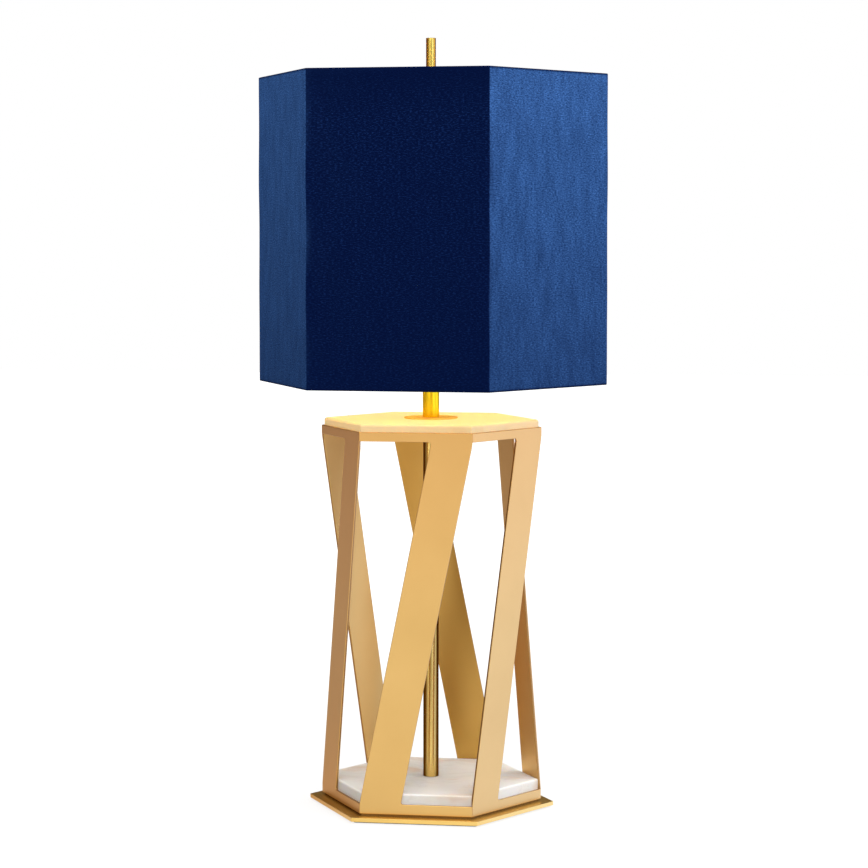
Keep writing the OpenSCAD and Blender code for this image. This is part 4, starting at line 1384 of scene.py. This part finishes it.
@dataclass
class Shade:
    """Velvet shade: cloth rolled over the wire rings of a stiff liner, and the spider that it hangs on.

    Attributes:
        turn_deg: Turn of the shade against the base.
        corner_r: Rounding of the upright corners.
        wall: Distance from the cloth's face to the liner's inner face.
        ring_depth: Distance from the cloth's face to the inner side of the rings.
        roll: How far the cloth stands over the edges.
        tuck: How far it is turned down inside.
        sway: Unevenness of the cloth's face.
        lap_w: Width of the lapped seam at the rear.
        lap_in: Distance from a corner to that seam.
        wire_r: Radius of the wire of rings and arms.
        arms: Number of the spider's arms.
        arm_in: Distance from the axis to an arm's inner end.
        hub_r: Radius of the spider's hub.
        hub_h: Height of the hub.
        hub_bore: Bore of the hub.
        levels: Heights of the shade's bottom and top, from its solid.
        flat: Distance from the axis to a side, from its solid.
    """

    turn_deg: float = -3.3
    corner_r: float = 1.8
    wall: float = 2.4
    ring_depth: float = 5.5
    roll: float = 0.7
    tuck: float = 12.0
    sway: float = 0.35
    lap_w: float = 9.0
    lap_in: float = 3.0
    wire_r: float = 1.5
    arms: int = 3
    arm_in: float = 10.0
    hub_r: float = 12.5
    hub_h: float = 2.0
    hub_bore: float = 3.35
    levels: tuple[float, float] = field(init=False)
    flat: float = field(init=False)

    def __post_init__(self) -> None:
        """Takes the shade's levels and its distance from axis to side from its solid."""
        low, high = node_box("shade_cover")
        self.levels = (low[2], high[2])
        turn = math.radians(self.turn_deg)
        corner = high[0] / max(math.cos(turn), math.cos(math.pi / 3 + turn))
        self.flat = corner * math.cos(HALF_SIDE) - 0.05

    def outline(self) -> np.ndarray:
        """Lays out the cloth's profile: tucked in, round the bottom ring, up the face, round the top ring.

        Returns:
            Points (flat, z) of shape (n, 2).
        """
        bottom, top = self.levels
        wall, ring = self.flat - self.wall, self.flat - self.ring_depth
        lower = [(wall, bottom + self.tuck), (wall, bottom + 5.4), (ring, bottom + 5.0),
                 (ring, bottom - self.roll), (self.flat, bottom - self.roll)]
        upper = [(x, bottom + top - z) for x, z in reversed(lower)]
        return refined(softened(lower + upper, 1.3, 5), 7.0)

    def build(self) -> None:
        """Makes cloth, seam, rings and spider and dresses the liner."""
        cloth = self.cloth()
        seam = self.seam()
        height = float(np.linalg.norm(np.diff(self.outline(), axis=0), axis=1).sum()) * MM
        dress(LINING, "shade_liner")
        for node in ("shade_top_ring", "shade_bottom_ring"):
            self.ring(node)
        self.spider()

    def cloth(self) -> bpy.types.Object:
        """Makes the cloth: P(i, u) = loop of flat_i at u, z_i, plus a slight sway along the outward normal.

        Returns:
            The cloth's object.
        """
        flats, heights = self.outline().T
        bottom, top = self.levels
        hexagon = HexagonLoops(self.turn_deg)
        plan = hexagon.loops(flats, np.maximum(self.corner_r - (self.flat - flats), 0.3))
        share = np.clip((heights - bottom) / (top - bottom), 0, 1)[:, None]
        face = (flats > self.flat - 0.01)[:, None] * np.sin(math.pi * share)
        u = round_angles(plan.shape[1])
        sway = self.sway * face * np.sin(5 * math.pi * share + 3 * u) * np.cos(11 * u + 2 * share)
        plan = plan + sway[..., None] * hexagon.normals()
        return Piece("velvet_cover", "shade", "velvet", NAVY_VELVET, [Patch(raised(plan, heights))],
                     ("shade_cover",)).build()

    def seam(self) -> bpy.types.Object:
        """Makes the lapped seam beside a rear corner: a strip h(s) proud of the face.

        h = 0.15 + 0.55 sqrt(1 - |2s - 1|^6) over its width, and both its edges dip under the face.

        Returns:
            The strip's object.
        """
        bottom, top = self.levels
        z = np.linspace(bottom + 0.2, top - 0.2, 60)
        s = np.linspace(0, 1, 13)
        off = np.abs(2 * s - 1)
        h = 0.15 + 0.55 * np.sqrt(np.clip(1 - off**6, 0, 1)) - 0.5 * (off > 0.99)
        angle = math.radians(360 / SIDES + self.turn_deg) + HALF_SIDE
        normal, along = on_circle(np.array([angle, angle + math.pi / 2]))
        edge = self.lap_in - self.flat * math.tan(HALF_SIDE)
        line = (edge + self.lap_w * s)[:, None] * along + (self.flat + h)[:, None] * normal
        strip = Patch(raised(np.broadcast_to(line, (len(z), *line.shape)), z), wrap_columns=False)
        return Piece("velvet_lap_seam", "shade", "velvet", NAVY_VELVET, [strip]).build()

    def ring(self, node: str) -> None:
        """Makes a wire ring: a circle of radius r carried round a six-sided loop.

        Args:
            node: The solid that it stands for.
        """
        low, high = node_box(node)
        flat = self.flat - self.ring_depth + 0.3 + self.wire_r
        across, up = self.wire_r * on_circle(round_angles(16)).T
        plan = HexagonLoops(self.turn_deg, side_steps=8).loops(flat + across, 3.0 + across)
        wire = Patch(raised(plan, (low[2] + high[2]) / 2 + up), wrap_rows=True)
        Piece(f"{node}_wire", "shade", "brass_plated", PLATED_BRASS, [wire], (node,)).build()

    def spider(self) -> None:
        """Makes the spider: a turned hub, and arms that rise in a straight line to the top ring's corners."""
        hub = node_box("spider_hub")[0][2]
        ring_z = node_box("shade_top_ring")[0][2] + self.wire_r
        outline = rounded_outline([(self.hub_r, hub), (self.hub_r, hub + self.hub_h)], 0.5, self.hub_bore)
        corner = (self.flat - self.ring_depth + 0.2) / math.cos(HALF_SIDE)
        start = hub + self.hub_h / 2
        out, lift = np.linspace((self.arm_in, start), (corner, ring_z), 40).T
        arms = [
            bent_tube(np.stack([out * x, out * y, lift], axis=1), self.wire_r, (-y, x, 0.0))
            for x, y in on_circle(math.radians(self.turn_deg) + round_angles(self.arms))
        ]
        Piece("spider_arms", "shade", "brass_plated", PLATED_BRASS, [turned(outline, 64), *arms],
              ("spider_hub", "shade_spider")).build()


@dataclass
class Finial:
    """Rod finial and its washer.

    Attributes:
        edge: Rounding of the rod's ends.
        bore: Radius of the hole for the stud.
        bore_depth: Depth of that hole's straight wall.
        washer_bore: Bore of the washer.
        washer_edge: Rounding of the washer's edges.
    """

    edge: float = 0.6
    bore: float = 3.1
    bore_depth: float = 11.0
    washer_bore: float = 3.35
    washer_edge: float = 0.35

    def build(self) -> None:
        """Makes rod and washer."""
        (_, _, low), (r, _, high) = node_box("finial")
        hole = low + self.bore_depth
        outline = softened([(self.bore, hole), (self.bore, low), (r, low), (r, high), (0.0, high)], self.edge)
        outline = np.concatenate([[[0.0, hole + 1.0]], refined(outline, 6.0)])
        Piece("finial_rod", "finial", "brass_polished", POLISHED_BRASS, [turned(outline)],
              ("finial",)).build()
        (_, _, low), (r, _, high) = node_box("finial_washer")
        outline = rounded_outline([(r, low), (r, high)], self.washer_edge, self.washer_bore)
        Piece("finial_washer_disc", "finial_foot", "brass_polished", POLISHED_BRASS, [turned(outline, 80)],
              ("finial_washer",)).build()


def aimed(name: str, data: bpy.types.ID, azimuth_deg: float, distance: float, height: float,
          tilt: float) -> bpy.types.Object:
    """Stands a camera or a light round the lamp, turned towards its axis.

    Args:
        name: Name of the object.
        data: The camera or the light.
        azimuth_deg: Turn round the lamp from the front, to the right.
        distance: Distance from the lamp's axis.
        height: Height of its middle.
        tilt: Tilt downwards, in radians.

    Returns:
        The new object.
    """
    a = math.radians(azimuth_deg)
    made = placed(name, data)
    made.location = Vector((math.sin(a) * distance, -math.cos(a) * distance, height)) * MM
    made.rotation_euler = (math.pi / 2 - tilt, 0.0, a)
    return made


@dataclass(frozen=True)
class SoftBox:
    """A soft light that faces the middle of the lamp.

    Attributes:
        name: Name of the light.
        azimuth_deg: Turn round the lamp from the front, to the right.
        distance: Distance from the lamp's axis.
        height: Height of its middle.
        size: Width and height.
        radiance: Brightness of its face, where 1 is white.
        colour: Colour of its light.
        target: Height that it faces.
    """

    name: str
    azimuth_deg: float
    distance: float
    height: float
    size: tuple[float, float]
    radiance: float
    colour: Colour = (1.0, 0.99, 0.97)
    target: float = 350.0

    def build(self) -> None:
        """Makes the light."""
        data = bpy.data.lights.new(self.name, "AREA")
        data.shape, data.size, data.size_y = "RECTANGLE", self.size[0] * MM, self.size[1] * MM
        data.energy, data.color = self.radiance * math.pi * data.size * data.size_y, self.colour
        tilt = math.atan2(self.height - self.target, self.distance)
        aimed(self.name, data, self.azimuth_deg, self.distance, self.height, tilt)


@dataclass
class Studio:
    """Floor, light and camera.

    Attributes:
        camera_distance: Distance of the camera from the lamp's axis.
        camera_height: Height of the camera.
        camera_azimuth_deg: Turn of the camera round the lamp, to the right.
        camera_tilt_deg: Tilt of the camera, downwards.
        lens: Focal length on a 36 mm frame.
        shift: Shift of the frame across and up, in frame widths.
        floor_size: Side of the floor.
        floor_z: Height of the floor.
        warm_side: Colour of the darker, left side of the room in a mirror.
        cool_side: Colour of the right side of the room in a mirror.
        light_side: Direction of the room's light side.
        lights: Soft lights round the lamp.
    """

    camera_distance: float = 2727.0
    camera_height: float = 576.5
    camera_azimuth_deg: float = 8.8
    camera_tilt_deg: float = 3.059
    lens: float = 113.8
    shift: tuple[float, float] = (0.0035, -0.0691)
    floor_size: float = 16000.0
    floor_z: float = -0.3
    warm_side: Colour = (1.0, 0.60, 0.36)
    cool_side: Colour = (0.92, 1.07, 1.62)
    light_side: Triple = (0.8, -0.6, 0.0)
    lights: tuple[SoftBox, ...] = (
        SoftBox("key light", 100.0, 2300.0, 700.0, (1400.0, 1800.0), 0.32, (0.97, 0.99, 1.04)),
        SoftBox("left strip", -31.0, 2300.0, 500.0, (110.0, 1900.0), 2.0),
        SoftBox("right strip", 47.0, 2300.0, 500.0, (260.0, 1900.0), 2.6),
        SoftBox("front light", 2.0, 2500.0, 2300.0, (1900.0, 1500.0), 1.75, (1.0, 0.985, 0.96)),
    )

    def build(self) -> None:
        """Makes camera, floor, surroundings and lights."""
        self.camera()
        self.floor()
        self.surroundings()
        for light in self.lights:
            light.build()
        bpy.context.scene.view_settings.view_transform = "Standard"

    def camera(self) -> None:
        """Makes the camera at the photograph's angle and puts it in charge."""
        data = bpy.data.cameras.new("camera")
        data.lens, data.sensor_width = self.lens, FRAME_WIDTH
        data.shift_x, data.shift_y = self.shift
        data.clip_start, data.clip_end = 0.05, 100.0
        bpy.context.scene.camera = aimed("camera", data, self.camera_azimuth_deg, self.camera_distance,
                                         self.camera_height, math.radians(self.camera_tilt_deg))

    def floor(self) -> None:
        """Makes the floor: a flat grid in a pale matt finish that a camera and a mirror see as white."""
        line = np.linspace(-self.floor_size / 2, self.floor_size / 2, 9)
        x, y = np.meshgrid(line, line, indexing="ij")
        patch = Patch(np.stack([x, y, np.full_like(x, self.floor_z)], axis=2), wrap_columns=False)
        mesh = bpy.data.meshes.new("floor")
        mesh.from_pydata((patch.points.reshape(-1, 3) * MM).tolist(), [], patch.quads()[:, ::-1].tolist())
        material = bpy.data.materials.new("pale floor")
        graph = Graph.fresh(material)
        where = graph.place()
        way, away = graph.vector("NORMALIZE", where), graph.vector("LENGTH", where, output="Value")
        path, mirrored = self.rays(graph)
        # A mirror sees the floor dimmer behind the lamp, on the dark side and in the gaps, but not close by.
        lit = graph.dot(way, self.light_side)
        gap = graph.largest(self.gap(graph, way), graph.spread(away, 0.3, 0.8, 1.0, 0.0))
        behind = graph.spread(graph.part(way, "Y"), 0.3, 0.75, 1.0, 0.25)
        shown = graph.product(mirrored, gap, behind, graph.spread(lit, -0.9, 0.5, 0.45, 1.0))
        white = graph.spread(away, 0.3, 1.6, 0.78, 1.0)
        strength = graph.product(white, graph.largest(path["Is Camera Ray"], shown))
        cast = self.cast(graph, way, graph.rest(path["Is Camera Ray"]))
        glow = graph.node("ShaderNodeEmission", {"Color": cast, "Strength": strength})
        matt = graph.node("ShaderNodeBsdfDiffuse", {"Color": (0.22, 0.22, 0.22)})
        both = graph.node("ShaderNodeAddShader", {0: matt.outputs[0], 1: glow.outputs[0]})
        graph.node("ShaderNodeOutputMaterial", {"Surface": both.outputs[0]})
        mesh.materials.append(material)
        placed("floor", mesh)

    @staticmethod
    def rays(graph: Graph) -> tuple[Any, Socket]:
        """Returns the kinds of light ray, and whether a mirror or glass looks."""
        path = graph.node("ShaderNodeLightPath").outputs
        return path, graph.largest(path["Is Glossy Ray"], path["Is Transmission Ray"])

    @staticmethod
    def gap(graph: Graph, way: Socket) -> Socket:
        """Darkens the white room round the camera and on the left, where a mirror sees the dark.

        Args:
            graph: Graph that gets the nodes.
            way: Direction from the lamp.

        Returns:
            How much of the white is left.
        """
        near, left = (graph.dot(way, (math.sin(q), -math.cos(q), 0.0)) for q in (0.28, -1.20))
        return graph.product(graph.spread(near, 0.955, 0.985, 1.0, 0.2),
                             graph.spread(left, 0.72, 0.88, 1.0, 0.50))

    def cast(self, graph: Graph, way: Socket, share: Socket) -> Socket:
        """Tints the room in a mirror, from warm on its dark side to cool on the right.

        Args:
            graph: Graph that gets the nodes.
            way: Direction from the lamp.
            share: How much of the colour shows.

        Returns:
            The room's colour.
        """
        right = graph.spread(graph.part(way, "X"), 0.3, 0.8)
        warm = graph.mix(graph.spread(graph.dot(way, self.light_side), -0.9, 0.2), self.warm_side, WHITE)
        return graph.mix(share, WHITE, graph.mix(right, warm, self.cool_side))

    def surroundings(self) -> None:
        """Makes the white room: white to a camera, and elsewhere brighter on the right than on the left."""
        world = bpy.data.worlds.new("white room")
        bpy.context.scene.world = world
        graph = Graph.fresh(world)
        way = graph.place()
        x, y, z = (graph.part(way, axis) for axis in "XYZ")
        path, mirrored = self.rays(graph)
        # Walls and ceiling light what is matt. A mirror sees white, dimmer in the same places as the floor.
        walls = graph.product(graph.spread(x, -0.9, 0.9, 0.06, 0.62), graph.spread(y, -0.2, 0.8, 1.0, 0.5))
        ceiling = graph.product(graph.spread(z, 0.35, 0.75, 0.0, 1.7), graph.spread(x, -0.7, 0.7, 0.5, 1.3))
        room = graph.product(graph.math("ADD", walls, ceiling), graph.rest(mirrored))
        lit = graph.spread(graph.dot(way, self.light_side), -0.9, 0.5, 0.32, 0.76)
        behind = graph.spread(y, 0.3, 0.7, 1.0, 0.2)
        shown = graph.product(mirrored, behind, lit, self.gap(graph, way))
        strength = graph.largest(room, path["Is Camera Ray"], shown)
        cast = self.cast(graph, way, mirrored)
        light = graph.node("ShaderNodeBackground", {"Color": cast, "Strength": strength})
        graph.node("ShaderNodeOutputWorld", {"Surface": light.outputs[0]})


def main() -> None:
    """Builds the studio, then the lamp's sub-assemblies in order."""
    logging.basicConfig(level=logging.INFO, format="%(name)s: %(message)s")
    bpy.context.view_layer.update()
    Studio().build()
    for part in (Base(), Cage(), Stem(), Harp(), Lampholder(), Bulb(), Shade(), Finial()):
        part.build()


if __name__ == "__main__":
    main()
